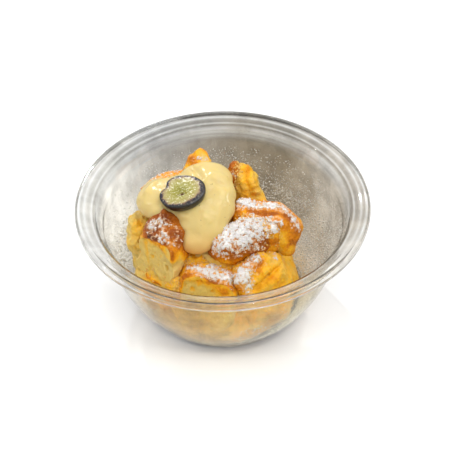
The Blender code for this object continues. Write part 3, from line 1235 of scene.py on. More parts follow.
    def build(self, chunk: Chunk) -> Skin:
        """Makes one piece.

        Args:
            chunk: The piece.

        Returns:
            Its outer points.
        """
        form, face = self.shape(chunk)
        form.push(self.painted(chunk, HEIGHT, form.points()))
        points = form.points()
        bake = self.bake(chunk, points, face)
        height, pits, crease_shade_and_brown = self.relief(chunk, points, face, bake)
        sugar = self.dusted(chunk, form, face, crease_shade_and_brown)
        height += 0.3 * smoothstep(0.35, 0.7, sugar)
        for pore in chunk.pores:
            away = np.linalg.norm(points - np.array(pore.at), axis=1) / pore.radius
            away = away * (1.0 + 0.35 * self.noise.at(points, 0.9))
            hole = 1.0 - smoothstep(0.45, 1.1, away)
            height -= pore.depth * hole
            bake = bake + 0.17 * hole
        # The crinkles' hollows darken as painted shade and their ridges brown.
        bake = bake + 0.05 * pits + 0.16 * crease_shade_and_brown
        form.push(height)
        form.paint = {"bake": bake, "sugar": sugar}
        skin = Skin(form.points(), form.normals(), sugar)
        piece = form.to_object(chunk.name, self.material)
        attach(piece, "root")
        if chunk.node:
            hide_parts(chunk.node)
        return skin


# All the pieces of bread that stand on the lower mass.
CHUNKS = (
    Chunk(
        "bread_centre",
        "chunk_centre",
        centre=(5.4, -10.0, 36.0),
        half=(11.2, 6.2, 5.8),
        turn=(16, -13, 12),
        boxiness=2.6,
        lumps=0.9,
        seed=3,
        cells=62,
        crust_from=-6.0,
        crust_to=-2.0,
        low_bake=0.5,
        high_bake=0.66,
        sugar=0.13,
        strokes=(
            Stroke(SUGAR, (-2, -14.5, 39.5), (5, -13.5, 41), 4.4, 0.74),
            Stroke(SUGAR, (4, -10, 42), (13, -9.5, 42), 4.8, 0.74),
            Stroke(SUGAR, (13.4, -13, 37.5), (11, -15, 35.5), 1.8, 0.5),
            Stroke(SUGAR, (-2, -16, 35.5), (6, -17, 35), 1.6, 0.4),
            Stroke(BAKE, (-4, -13, 36), (-3, -10, 39), 3.0, -0.12),
            Stroke(BAKE, (4, -17, 37.5), (12, -15, 37.5), 1.8, 0.14),
            Stroke(BAKE, (0, -17, 33), (10, -15.5, 32.5), 3.0, -0.24),
            Stroke(BAKE, (-3, -15, 35), (-1, -13.5, 40), 1.6, -0.12),
            Stroke(HEIGHT, (8, -15.5, 38), (14, -12, 38), 1.1, -0.5),
            Stroke(HEIGHT, (-1, -16.5, 37), (4, -17.5, 37.5), 1.0, -0.35),
        ),
    ),
    Chunk(
        "bread_front_middle",
        "chunk_front_middle",
        centre=(-6.2, -20.4, 20.3),
        half=(10.6, 8.4, 11.6),
        turn=(-14, 4, -4),
        boxiness=4.0,
        seed=19,
        cells=62,
        cuts=(((-0.10, -0.97, 0.22), 5.6),),
        pulls=(
            Pull((3.0, -24.0, 29.0), 6.0, (-1.2, -1.2, -2.4)),
            Pull((-15.0, -24.0, 28.0), 5.0, (0.6, 1.0, -1.6)),
        ),
        crust_from=3.0,
        crust_to=8.0,
        low_bake=0.08,
        high_bake=0.40,
        sugar=0.1,
        strokes=(
            Stroke(SUGAR, (-11, -18.5, 31.5), (-5, -19, 32), 2.2, 0.62),
            Stroke(SUGAR, (-6.5, -21.5, 32), (1.6, -22.6, 30), 2.7, 0.7),
            Stroke(SUGAR, (-3, -17, 31), (2, -19, 30), 2.2, 0.4),
            Stroke(BAKE, (-8, -14, 30), (1, -16, 31), 2.6, -0.22),
            Stroke(BAKE, (-13, -22.5, 31.5), (-5, -23.5, 31), 1.5, 0.22),
            Stroke(BAKE, (-5, -24, 30.5), (0, -25.5, 27), 1.9, 0.24),
            Stroke(BAKE, (1, -25, 27), (0, -26.5, 21), 3.0, 0.2),
            Stroke(BAKE, (-15.5, -23.5, 31), (-15, -24, 24), 0.9, 0.3),
            Stroke(HEIGHT, (-13, -23, 31.5), (-4, -24, 31), 1.0, 0.35),
            Stroke(HEIGHT, (-4, -25, 30), (0, -26, 26), 1.0, 0.45),
            Stroke(HEIGHT, (-9, -18, 32), (-1, -19, 31.5), 1.1, -0.55),
        ),
        pores=(
            Pore((-10.8, -24.1, 27.2), 0.95),
            Pore((-8.3, -23.7, 30.2), 1.5, 0.5),
            Pore((-4.3, -25.0, 26.9), 0.7),
            Pore((-13.2, -24.0, 28.4), 0.5),
            Pore((-6.6, -25.0, 24.0), 0.8),
            Pore((-11.8, -24.6, 22.5), 0.9),
        ),
    ),
    Chunk(
        "bread_left_low",
        "chunk_left_low",
        centre=(-23.4, -12.6, 16.6),
        half=(6.0, 8.0, 8.8),
        turn=(-10, -10, 40),
        boxiness=2.8,
        lumps=1.2,
        seed=83,
        cells=44,
        crust_from=20.0,
        crust_to=25.0,
        low_bake=0.14,
        folds=1.6,
        mush=1.0,
        strokes=(
            Stroke(BAKE, (-27, -14.5, 25), (-22.5, -18.5, 23.5), 0.7, 0.42),
            Stroke(BAKE, (-28, -13, 22), (-24, -19, 20), 1.6, 0.22),
            Stroke(HEIGHT, (-27.5, -14.5, 23.5), (-23, -19, 22), 0.8, -0.8),
        ),
        slot="soaked_crumb",
    ),
    Chunk(
        "bread_front_left",
        "chunk_front_left",
        centre=(-20.0, -10.4, 28.0),
        half=(7.8, 9.0, 15.0),
        turn=(-22, -4, -40),
        boxiness=3.8,
        lumps=0.9,
        seed=11,
        cells=66,
        cuts=(((-0.62, -0.76, 0.18), 6.2), ((0.86, -0.2, -0.46), 5.0)),
        pulls=(
            Pull((-20.2, -4.5, 43.0), 3.6, (0.6, 0.4, 3.4)),
            Pull((-15.0, -19.0, 33.0), 5.0, (1.0, -1.4, -0.6)),
        ),
        crust_side=(0.5, 0.3, 0.8),
        crust_from=2.0,
        crust_to=6.0,
        low_bake=0.06,
        high_bake=0.62,
        sugar=0.1,
        strokes=(
            Stroke(SUGAR, (-24.5, -8.5, 42.3), (-21.5, -8.3, 43.6), 2.1, 0.78),
            Stroke(SUGAR, (-20.6, -12.5, 43), (-19.4, -13.5, 42.6), 1.4, 0.62),
            Stroke(SUGAR, (-22.5, -13, 41), (-20, -15, 40.5), 1.2, 0.4),
            Stroke(SUGAR, (-18.5, -15, 41), (-15, -14.5, 40), 1.7, 0.34),
            Stroke(SUGAR, (-18, -9, 44), (-16, -12, 43), 1.5, 0.3),
            Stroke(BAKE, (-25, -9.5, 41), (-20, -8, 44), 3.4, 0.2),
            Stroke(BAKE, (-24.5, -12, 40), (-20.5, -15, 40), 1.6, 0.42),
            Stroke(BAKE, (-20.5, -15.5, 39), (-17.8, -18.0, 36.6), 1.5, 0.28),
            Stroke(BAKE, (-17.2, -18.8, 34.5), (-16, -19.3, 31), 2.0, -0.06),
            Stroke(BAKE, (-24, -17, 23), (-18, -20, 25), 3.0, 0.07),
            Stroke(BAKE, (-18, -16.5, 40), (-15.5, -18, 33), 2.4, -0.16),
            Stroke(BAKE, (-15, -17, 35), (-14.5, -17, 30), 3.4, -0.34),
            Stroke(BAKE, (-16.5, -13, 43), (-13.5, -13.5, 38), 1.6, 0.12),
            Stroke(BAKE, (-26.5, -11, 37), (-25, -14, 26), 0.9, 0.16),
            Stroke(HEIGHT, (-24.8, -11.5, 40.5), (-20.5, -15.2, 39.5), 1.0, 0.7),
            Stroke(HEIGHT, (-20.2, -15.8, 39), (-17, -18.8, 35), 1.0, 0.6),
            Stroke(HEIGHT, (-19.8, -5.2, 44.6), (-19.8, -5.2, 46), 0.8, 1.5),
            Stroke(HEIGHT, (-20, -8, 44), (-16, -13, 42), 1.0, -0.4),
            Stroke(HEIGHT, (-23.8, -16, 28), (-21.5, -17.8, 26.5), 0.8, 0.5),
        ),
        pores=(
            Pore((-24.3, -13.8, 33.0), 0.95),
            Pore((-21.4, -16.0, 35.1), 0.6, 0.4),
            Pore((-19.7, -18.0, 32.0), 0.75, 0.8),
            Pore((-19.4, -18.3, 30.9), 0.6, 0.8),
            Pore((-23.0, -16.5, 25.9), 0.8),
            Pore((-25.2, -13.2, 29.4), 0.45, 0.4),
            Pore((-22.4, -16.0, 31.0), 0.4, 0.4),
        ),
    ),
    Chunk(
        "bread_right",
        "chunk_right",
        centre=(14.9, -1.2, 35.2),
        half=(11.8, 7.2, 7.8),
        turn=(-8, 12, -2),
        boxiness=3.0,
        seed=27,
        cells=62,
        pulls=(
            Pull((14.0, -8.9, 36.8), 3.2, (0, 2.0, 0.2)),
            Pull((14.0, -9.4, 33.4), 3.6, (0, -1.8, 0.2)),
            Pull((13.0, 2.0, 44.0), 4.4, (0, 0, -1.6)),
            Pull((24.5, -6.0, 30.0), 6.0, (0.2, -2.4, -1.4)),
        ),
        crust_from=-4.0,
        crust_to=2.0,
        low_bake=0.38,
        high_bake=0.46,
        folds=0.7,
        crinkle=0.7,
        sugar=0.1,
        strokes=(
            Stroke(SUGAR, (7.5, 1.5, 43.5), (21, 1, 42.5), 3.2, 0.72),
            Stroke(SUGAR, (9, -0.5, 43), (17, -1, 43), 1.2, 0.4),
            Stroke(SUGAR, (10, -5.6, 42.5), (19, -7.0, 41.3), 2.0, 0.66),
            Stroke(SUGAR, (22, -2.5, 41.5), (25.8, -5.2, 38), 1.7, 0.7),
            Stroke(SUGAR, (8, -3, 42.5), (23, -4.2, 41), 1.1, -0.9),
            Stroke(BAKE, (10, -3, 43), (23, -4.2, 41), 1.3, 0.28),
            Stroke(BAKE, (25, -6, 38), (24, -7.5, 33), 2.2, 0.10),
            Stroke(BAKE, (19.5, -8.5, 37.5), (19.5, -9.6, 31), 1.9, -0.22),
            Stroke(BAKE, (18.2, -9, 36.2), (18.6, -9.4, 34.2), 0.5, 0.4),
            Stroke(HEIGHT, (9, -3, 43), (22, -4.2, 41.5), 1.1, -1.0),
            Stroke(HEIGHT, (12, -6, 42.3), (20, -7.4, 41), 1.0, 0.5),
            Stroke(HEIGHT, (21, -8, 39.5), (21, -10, 31), 1.3, 0.4),
        ),
    ),
    Chunk(
        "bread_front_right",
        "chunk_front_right",
        centre=(12.0, -15.2, 17.6),
        half=(10.0, 10.4, 14.4),
        turn=(-10, 8, 28),
        boxiness=2.9,
        lumps=1.1,
        seed=35,
        cells=66,
        pulls=(
            Pull((5.4, -20.6, 28.0), 5.0, (-0.8, -1.2, 2.4)),
            Pull((11.5, -14.0, 33.5), 5.0, (0.0, 0.6, 1.6)),
        ),
        crust_from=0.0,
        crust_to=12.0,
        low_bake=0.2,
        high_bake=0.27,
        folds=0.9,
        crinkle=0.5,
        sugar=0.08,
        strokes=(
            Stroke(SUGAR, (4.6, -23.6, 28.5), (6, -22, 31.5), 2.9, 0.7),
            Stroke(SUGAR, (6.5, -21.4, 32.2), (11, -16.8, 34), 2.8, 0.62),
            Stroke(SUGAR, (8, -24.5, 26), (8.5, -23.5, 28.5), 1.4, 0.6),
            Stroke(SUGAR, (18, -15, 32), (17, -12, 32), 1.4, 0.4),
            Stroke(BAKE, (4.2, -24, 28), (10, -17.5, 34), 2.4, 0.24),
            Stroke(BAKE, (12.5, -18, 33), (12.5, -20, 31), 2.0, 0.12),
            Stroke(BAKE, (10.5, -24.4, 26.3), (15.7, -21.2, 30.2), 0.9, 0.16),
            Stroke(BAKE, (15.7, -21.2, 30.2), (20, -15.5, 31), 0.9, 0.14),
            Stroke(BAKE, (4.6, -25, 23.8), (7.5, -25.5, 25), 0.5, 0.5),
            Stroke(HEIGHT, (4.6, -23.6, 28.5), (11, -16.6, 34), 1.6, 0.7),
            Stroke(HEIGHT, (8.4, -23.8, 29), (13, -17.6, 33.4), 0.9, -0.8),
            Stroke(HEIGHT, (10.5, -24.4, 26.3), (15.7, -21.2, 30.2), 0.9, -1.5),
            Stroke(HEIGHT, (15.7, -21.2, 30.2), (20.5, -15.5, 31), 0.9, -1.2),
            Stroke(HEIGHT, (13, -24.2, 26.5), (19, -20.5, 28.5), 1.4, 0.8),
            Stroke(HEIGHT, (14, -25, 22.5), (20.5, -21, 25), 0.9, -1.1),
            Stroke(HEIGHT, (13, -19.5, 32.5), (17.5, -16, 32.5), 0.9, -0.9),
            Stroke(BAKE, (14, -25, 22.5), (20.5, -21, 25), 0.9, 0.12),
        ),
        slot="golden_bread",
    ),
    Chunk(
        "bread_back_top",
        "chunk_back_top",
        centre=(-9.6, 19.8, 39.8),
        half=(5.4, 4.4, 8.4),
        turn=(8, 16, -12),
        boxiness=2.8,
        lumps=0.7,
        seed=43,
        cells=40,
        pulls=(Pull((-7.4, 22.6, 47.4), 3.6, (0.4, 1.4, 3.2)),),
        low_bake=0.36,
        high_bake=0.38,
        sugar=0.12,
        strokes=(
            Stroke(BAKE, (-11, 20, 48), (-10, 18, 47), 1.6, 0.14),
            Stroke(BAKE, (-7, 20.5, 50), (-5.5, 19, 47), 1.6, -0.34),
            Stroke(SUGAR, (-8.6, 19.6, 49), (-6, 19, 48.5), 1.0, 0.5),
        ),
    ),
    Chunk(
        "bread_tip",
        "crust_tip",
        centre=(4.5, 15.4, 40.6),
        half=(2.6, 2.6, 6.0),
        turn=(-14, 4, 10),
        boxiness=2.4,
        lumps=0.4,
        seed=51,
        cells=26,
        pulls=(Pull((4.8, 17.6, 46.4), 2.6, (0.0, 0.6, 1.8)),),
        low_bake=0.5,
        high_bake=0.58,
        sugar=0.07,
        strokes=(
            Stroke(SUGAR, (3.2, 15, 46.5), (4.6, 14.6, 44.5), 0.8, 0.5),
            Stroke(BAKE, (2.0, 15.5, 40), (3.8, 17, 46), 1.8, 0.12),
            Stroke(BAKE, (6.8, 15.5, 40), (6.4, 17, 46), 1.8, -0.22),
        ),
    ),
    Chunk(
        "bread_back_right",
        "chunk_back_right",
        centre=(9.2, 13.4, 34.6),
        half=(5.6, 5.6, 10.8),
        turn=(-14, -4, 18),
        boxiness=2.5,
        lumps=1.2,
        seed=59,
        cells=46,
        pulls=(Pull((8.0, 18.0, 44.0), 3.6, (-0.4, 0.4, 2.2)),),
        low_bake=0.21,
        high_bake=0.22,
        folds=1.8,
        strokes=(
            Stroke(BAKE, (8.8, 17, 46.4), (9, 15, 46), 1.6, 0.26),
            Stroke(BAKE, (8.5, 12, 44.5), (11, 10, 40), 0.7, 0.16),
            Stroke(HEIGHT, (8.5, 12, 44.5), (11, 10, 39), 0.9, -0.9),
            Stroke(HEIGHT, (6, 12, 43), (7.5, 10, 39), 0.8, -0.6),
        ),
        slot="golden_bread",
    ),
    Chunk(
        "bread_back_left",
        "chunk_back_left",
        centre=(-18.6, 13.6, 36.2),
        half=(9.6, 5.6, 8.6),
        turn=(-12, -14, 26),
        boxiness=3.2,
        seed=67,
        cells=48,
        low_bake=0.3,
        high_bake=0.4,
        sugar=0.35,
    ),
    Chunk(
        "bread_left",
        "chunk_left",
        centre=(-27.6, 0.4, 25.4),
        half=(5.4, 7.2, 11.0),
        turn=(-6, -8, 6),
        boxiness=2.8,
        lumps=1.3,
        seed=75,
        cells=46,
        crust_from=20.0,
        crust_to=25.0,
        low_bake=0.09,
        folds=1.8,
        mush=1.2,
        strokes=(
            Stroke(BAKE, (-28, -2, 36), (-29, 1, 36), 2.0, 0.16),
            Stroke(HEIGHT, (-30, -6.5, 32), (-27.5, -3, 34.5), 0.8, -1.0),
            Stroke(HEIGHT, (-32, -3, 28), (-28.5, -7.5, 29), 0.9, -1.1),
        ),
        slot="soaked_crumb",
    ),
    Chunk(
        "bread_strip",
        "",
        centre=(14.4, -7.6, 33.2),
        half=(4.4, 2.8, 7.6),
        turn=(10, 6, 10),
        boxiness=3.6,
        lumps=1.2,
        seed=101,
        cells=34,
        low_bake=0.36,
        high_bake=0.44,
        mush=0.8,
        strokes=(
            Stroke(SUGAR, (11, -8.5, 41.5), (19, -9.5, 40.5), 3.0, 0.8),
            Stroke(SUGAR, (14, -12, 38), (17.5, -13, 35), 2.6, 0.45),
            Stroke(HEIGHT, (15, -12, 39), (14.4, -14.5, 31), 0.8, -0.9),
            Stroke(HEIGHT, (18.4, -12, 38), (17.6, -14.5, 31), 0.7, -0.8),
            Stroke(BAKE, (15, -12, 39), (14.4, -14.5, 31), 0.8, 0.2),
        ),
        slot="golden_bread",
    ),
    Chunk(
        "soaked_filling_front",
        "",
        centre=(-9.6, -12.4, 27.6),
        half=(7.4, 4.4, 4.4),
        turn=(10, 0, 0),
        boxiness=2.4,
        lumps=1.2,
        seed=111,
        cells=36,
        crust_from=20.0,
        crust_to=25.0,
        low_bake=0.3,
        folds=1.6,
        mush=1.2,
        slot="soaked_crumb",
    ),
    Chunk(
        "soaked_filling_left",
        "",
        centre=(-16.4, -18.2, 20.4),
        half=(3.6, 4.8, 8.6),
        turn=(0, 0, 0),
        boxiness=2.4,
        lumps=0.9,
        seed=121,
        cells=34,
        crust_from=20.0,
        crust_to=25.0,
        low_bake=0.22,
        folds=1.4,
        mush=1.0,
        slot="soaked_crumb",
    ),
)


@dataclass
class Mass:
    """The fused lower mass of bread and custard, as a lumpy turned heap.

    line is the heap's side as radius and height, from its foot to its top, and
    clearance is the room that it keeps to the bowl's wall.
    """

    material: bpy.types.Material
    bowl: Bowl
    line: tuple[Pair, ...] = (
        (26.8, 1.9),
        (28.6, 4.0),
        (29.2, 7.0),
        (28.0, 10.5),
        (24.4, 14.6),
        (20.8, 18.5),
        (18.4, 23.0),
        (16.6, 28.0),
        (13.0, 32.6),
        (7.4, 35.4),
        (0.0, 36.2),
    )
    centre: Pair = (-1.4, -0.6)
    sides: int = 190
    rings: int = 84
    smoothing: int = 6
    seed: int = 91
    clearance: float = 0.3

    def section(self) -> list[Pair]:
        """The heap's side, finely divided, with its flat underside.

        Returns:
            Radius and height of each point.
        """
        line = np.array(self.line)
        length = np.concatenate(([0], np.cumsum(np.linalg.norm(np.diff(line, axis=0), axis=1))))
        spots = np.linspace(0.0, length[-1], self.rings)
        side = np.column_stack([np.interp(spots, length, line[:, k]) for k in (0, 1)])
        return [(0.0, side[0][1])] + [tuple(spot) for spot in side.tolist()]

    def inside_bowl(self, points: np.ndarray) -> np.ndarray:
        """Draws points in where they are too near the bowl's wall.

        Args:
            points: One point on each row, in millimetres.

        Returns:
            The points, at least the clearance away from the wall.
        """
        room = np.array([self.bowl.belly_radius(height) for height in points[:, 2]])
        room -= self.bowl.wall + self.clearance
        out = np.hypot(points[:, 0], points[:, 1])
        points[:, :2] *= np.minimum(1.0, room / np.maximum(out, 0.1))[:, None]
        return points

    def build(self) -> bpy.types.Object:
        """Makes the heap with its lumps and its golden side.

        Returns:
            The finished piece.
        """
        bm = spun(self.section(), self.sides)
        bmesh.ops.translate(bm, vec=(*self.centre, 0.0), verts=bm.verts)
        form = Form(bm)
        form.relax(self.smoothing)
        points = form.points()
        wobble = Noise(self.seed)
        lift = 1.5 * wobble.layers(points, 9.0, 2) + 0.5 * wobble.layers(points, 3.0, 2)
        lift *= smoothstep(2.2, 5.0, points[:, 2])
        form.push(lift)
        points = self.inside_bowl(form.points())
        form.move_to(points)
        gold = smoothstep(-6.0, 3.0, points[:, 0] + 4.0 * wobble.at(points, 8.0))
        bake = mix(0.0, 0.25, gold) + 0.12 * wobble.layers(points + 70.0, 5.0)
        form.paint = {"bake": bake, "sugar": np.zeros(len(points))}
        piece = form.to_object("bread_base", self.material)
        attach(piece, "root")
        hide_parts("pudding_base")
        return piece


# ------------------------------------------------------- cream and berry


@dataclass
class Cream:
    """The spooned pastry cream: soft lobes that run down between the pieces.

    A blob is a centre, three radii and a turn in degrees. A crease is a line's
    two ends, its reach and how far the surface moves out along it.
    """

    material: bpy.types.Material
    blobs: tuple[tuple[Triple, Triple, Triple], ...] = (
        ((-21.6, 4.6, 43.0), (8.8, 10.2, 5.6), (-6, -12, 10)),
        ((-5.4, 11.6, 45.4), (9.8, 9.8, 5.4), (-12, 4, 0)),
        ((-6.8, 0.4, 43.6), (11.8, 9.4, 5.2), (10, 6, 0)),
        ((-7.0, -7.2, 39.6), (9.0, 6.8, 5.2), (32, 4, 0)),
        ((-9.2, -11.4, 36.4), (6.0, 3.8, 4.8), (30, 0, 0)),
        ((-1.6, 5.6, 44.4), (6.9, 7.4, 5.0), (0, 8, 0)),
        ((-14.0, 6.4, 44.4), (8.0, 8.0, 4.8), (0, 0, 0)),
        ((-6.4, -4.4, 41.6), (9.4, 6.0, 5.2), (26, 4, 0)),
    )
    creases: tuple[tuple[Triple, Triple, float, float], ...] = (
        ((-10.5, 14.0, 50.0), (-7.2, 7.0, 50.8), 1.2, -0.8),
        ((-4.0, 5.6, 50.0), (1.4, 4.6, 48.8), 1.0, -0.45),
        ((-3.0, 8.6, 50.4), (1.4, 8.4, 49.0), 1.5, 0.4),
        ((-26.5, 4.0, 47.0), (-23.4, 8.0, 48.0), 1.1, 0.5),
        ((-21.0, -2.5, 46.5), (-17.0, -5.5, 45.5), 1.6, -0.6),
        ((-14.4, -6.6, 45.0), (-12.0, -7.4, 45.0), 1.1, 0.45),
        ((-6.6, -7.0, 46.0), (-4.6, -9.0, 44.6), 1.1, 0.4),
        ((2.0, -3.0, 46.0), (0.0, -9.0, 43.0), 1.6, -0.35),
    )
    cell: float = 0.45
    smoothing: int = 44
    seed: int = 17

    def fused(self) -> bmesh.types.BMesh:
        """All lobes as one smooth body.

        Returns:
            The body, in millimetres.
        """
        bm = bmesh.new()
        for centre, radii, turn in self.blobs:
            place = Matrix.Translation(centre) @ turned(turn).to_4x4()
            bmesh.ops.create_icosphere(
                bm, subdivisions=4, radius=1.0, matrix=place @ Matrix.Diagonal((*radii, 1.0))
            )
        mesh = bpy.data.meshes.new("cream_lobes")
        bm.to_mesh(mesh)
        bm.free()
        helper = bpy.data.objects.new("cream_lobes", mesh)
        bpy.context.scene.collection.objects.link(helper)
        fuse = helper.modifiers.new("fuse", "REMESH")
        fuse.mode = "VOXEL"
        fuse.voxel_size = self.cell
        graph = bpy.context.evaluated_depsgraph_get()
        whole = bpy.data.meshes.new_from_object(helper.evaluated_get(graph))
        made = bmesh.new()
        made.from_mesh(whole)
        bpy.data.objects.remove(helper)
        bpy.data.meshes.remove(mesh)
        bpy.data.meshes.remove(whole)
        return made

    def build(self) -> bpy.types.Object:
        """Makes the cream.

        Returns:
            The finished piece.
        """
        form = Form(self.fused())
        form.relax(self.smoothing)
        points = form.points()
        ripple = Noise(self.seed)
        height = 0.4 * ripple.at(points, 6.5) + 0.1 * ripple.at(points, 2.6) - 0.05
        for start, end, reach, depth in self.creases:
            height += Stroke(HEIGHT, start, end, reach, depth).over(points)
        form.push(height)
        points = form.points()
        # Painted shade, with the brown of thin edges: low at the front and on the lower left.
        low = smoothstep(-4.0, -15.0, points[:, 1]) * smoothstep(45.0, 33.0, points[:, 2])
        left = smoothstep(-18.0, -30.0, points[:, 0]) * smoothstep(48.0, 38.0, points[:, 2])
        form.paint = {"stain_and_shade": np.clip(0.75 * low + 0.3 * left, 0.0, 1.0)}
        piece = form.to_object("pastry_cream", self.material)
        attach(piece, "root")
        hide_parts("cream")
        return piece


@dataclass
class Berry:
    """Half a blueberry, cut face up, with an uneven outline.

    The section is made one unit wide, and radii then gives it its size.
    """

    material: bpy.types.Material
    centre: Triple = (-13.7, -0.2, 50.4)
    radii: Triple = (7.8, 7.2, 6.4)
    turn: Triple = (7, -9, 14)
    sides: int = 96
    rings: int = 26
    notch_at: float = 141
    wide_skin_at: float = -50
    cut_edge: float = 0.93
    seed: int = 23

    def outline(self, angle: np.ndarray) -> np.ndarray:
        """How the outline swells and sinks around the berry.

        Args:
            angle: Directions from the centre, in radians.

        Returns:
            What the radius is multiplied by.
        """
        notch = np.exp(-((angle_past(angle, self.notch_at) / 0.3) ** 2))
        waves = 0.03 * np.cos(2 * angle + 0.6) + 0.025 * np.cos(3 * angle + 1.0)
        return 1.0 + waves - 0.2 * notch

    def face(self, angle: np.ndarray) -> np.ndarray:
        """How far the flesh reaches: the skin stands wide on one side."""
        return 1.0 - 0.17 * np.exp(-((angle_past(angle, self.wide_skin_at) / 1.15) ** 2))

    def section(self) -> list[Pair]:
        """From the pole up the skin, over the edge and across the cut face.

        Returns:
            Radius and height of each point.
        """
        skin = []
        for ring in range(self.rings + 1):
            angle = math.pi / 2 * ring / self.rings
            skin.append((math.sin(angle), -math.cos(angle) * self.radii[2]))
        edge = [(0.992, 0.22), (0.965, 0.34)]
        cut = []
        for ring in range(self.rings):
            share = 1.0 - (ring + 0.5) / self.rings
            cut.append((self.cut_edge * share, 0.32 + 0.4 * (1.0 - share**2)))
        return skin + edge + cut + [(0.0, 0.72)]

    def build(self) -> bpy.types.Object:
        """Turns the section, then gives it its outline, flesh and grains.

        Returns:
            The finished piece.
        """
        wobble = Noise(self.seed)
        form = Form(spun(self.section(), self.sides))
        points = form.points()
        share = np.hypot(points[:, 0], points[:, 1])
        angle = np.arctan2(points[:, 1], points[:, 0])
        top = points[:, 2] > 0.3
        inner = top & (share < self.cut_edge + 0.01)
        flesh = np.where(inner, 1.0, np.where(top, 0.35, 0.0))
        radial = np.where(inner, share / self.cut_edge, 1.0)
        reach = self.outline(angle) * np.where(top, self.face(angle), 1.0)
        points[:, 0] *= reach * self.radii[0]
        points[:, 1] *= reach * self.radii[1]
        grains = 0.16 * wobble.layers(points, 0.9, 2) + 0.12 * wobble.at(points, 2.4)
        across, along = points[:, 0] + 0.3, points[:, 1] + 1.7
        pit = np.exp(-((across**2 + along**2) / 0.17))
        veins = np.exp(-((across / 1.7) ** 2) - (along / 0.4) ** 2)
        points[:, 2] += flesh * (grains - 0.6 * pit - 0.15 * veins)
        points[:, :2] *= (1.0 + (1.0 - flesh) * 0.02 * wobble.at(points, 3.0))[:, None]
        rotation = np.array(turned(self.turn))
        form.move_to(points @ rotation.T + np.array(self.centre))
        red = np.clip(0.55 * veins + pit, 0.0, 1.0) * flesh
        form.paint = {"flesh": flesh, "radial": radial, "red": red}
        piece = form.to_object("blueberry", self.material)
        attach(piece, "root")
        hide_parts("blueberry_half")
        return piece


# ------------------------------------------------------- scattered things


class Scatter:
    """Makes many small lumps as one piece."""

    def __init__(self, name: str, material: bpy.types.Material, slot: str) -> None:
        """Starts with no lumps.

        Args:
            name: The piece's name.
            material: Its finish.
            slot: The material slot it belongs to; not used.
        """
        self.name, self.material, self.slot = name, material, slot
        self.points: list[np.ndarray] = []
        self.faces: list[np.ndarray] = []
        self.count = 0
        bm = bmesh.new()
        bmesh.ops.create_icosphere(bm, subdivisions=1, radius=1.0)
        self.seed_points = np.array([vert.co[:] for vert in bm.verts])
        self.seed_faces = np.array([[v.index for v in face.verts] for face in bm.faces])
        bm.free()

    def add(
        self,
        place: np.ndarray,
        normal: np.ndarray | Vector,
        radius: float,
        flatness: float,
        rng: np.random.Generator,
    ) -> None:
        """Adds one lump that sits on a surface.

        Args:
            place: Where it sits, in millimetres.
            normal: The surface's outward direction.
            radius: Its size in millimetres.
            flatness: Its height as a share of its width.
            rng: Gives it its own uneven shape.
        """
        lump = self.seed_points * (1.0 + 0.22 * rng.normal(size=(len(self.seed_points), 1)))
        spin = Vector(normal).to_track_quat("Z", "Y").to_matrix()
        turn = Matrix.Rotation(rng.uniform(0, math.tau), 3, "Z")
        lump = lump * np.array([1.0, rng.uniform(0.7, 1.0), flatness]) * radius
        lump = lump @ np.array(spin @ turn).T + np.array(place)
        self.points.append(lump)
        self.faces.append(self.seed_faces + self.count)
        self.count += len(lump)

    def build(self) -> bpy.types.Object:
        """Writes all lumps as one piece.

        Returns:
            The finished piece.
        """
        mesh = bpy.data.meshes.new(self.name)
        points = np.concatenate(self.points) * MM
        mesh.from_pydata(points.tolist(), [], np.concatenate(self.faces).tolist())
        piece = add_to_scene(self.name, mesh, self.material)
        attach(piece, "root")
        return piece


@dataclass
class SugarGrains:
    """Clumps of powdered sugar on the dusted crusts."""

    material: bpy.types.Material
    count: int = 6500
    sizes: Pair = (0.08, 0.22)
    least_cover: float = 0.25
    seed: int = 5

    def build(self, skins: list[Skin]) -> bpy.types.Object:
        """Scatters the clumps where the sugar lies thickest.

        Args:
            skins: The outer points of the pieces of bread.

        Returns:
            The finished piece.
        """
        rng = np.random.default_rng(self.seed)
        points = np.concatenate([skin.points for skin in skins])
        normals = np.concatenate([skin.normals for skin in skins])
        cover = np.concatenate([skin.sugar for skin in skins])
        chance = np.clip(cover - self.least_cover, 0.0, 1.0)
        chosen = rng.choice(len(points), self.count, p=chance / chance.sum())
        grains = Scatter("sugar_clumps", self.material, "baked_crust")
        for index in chosen:
            normal = normals[index]
            radius = rng.uniform(*self.sizes)
            place = points[index] + normal * radius * 0.25 + rng.normal(size=3) * 0.12
            grains.add(place, normal, radius, 0.75, rng)
        return grains.build()


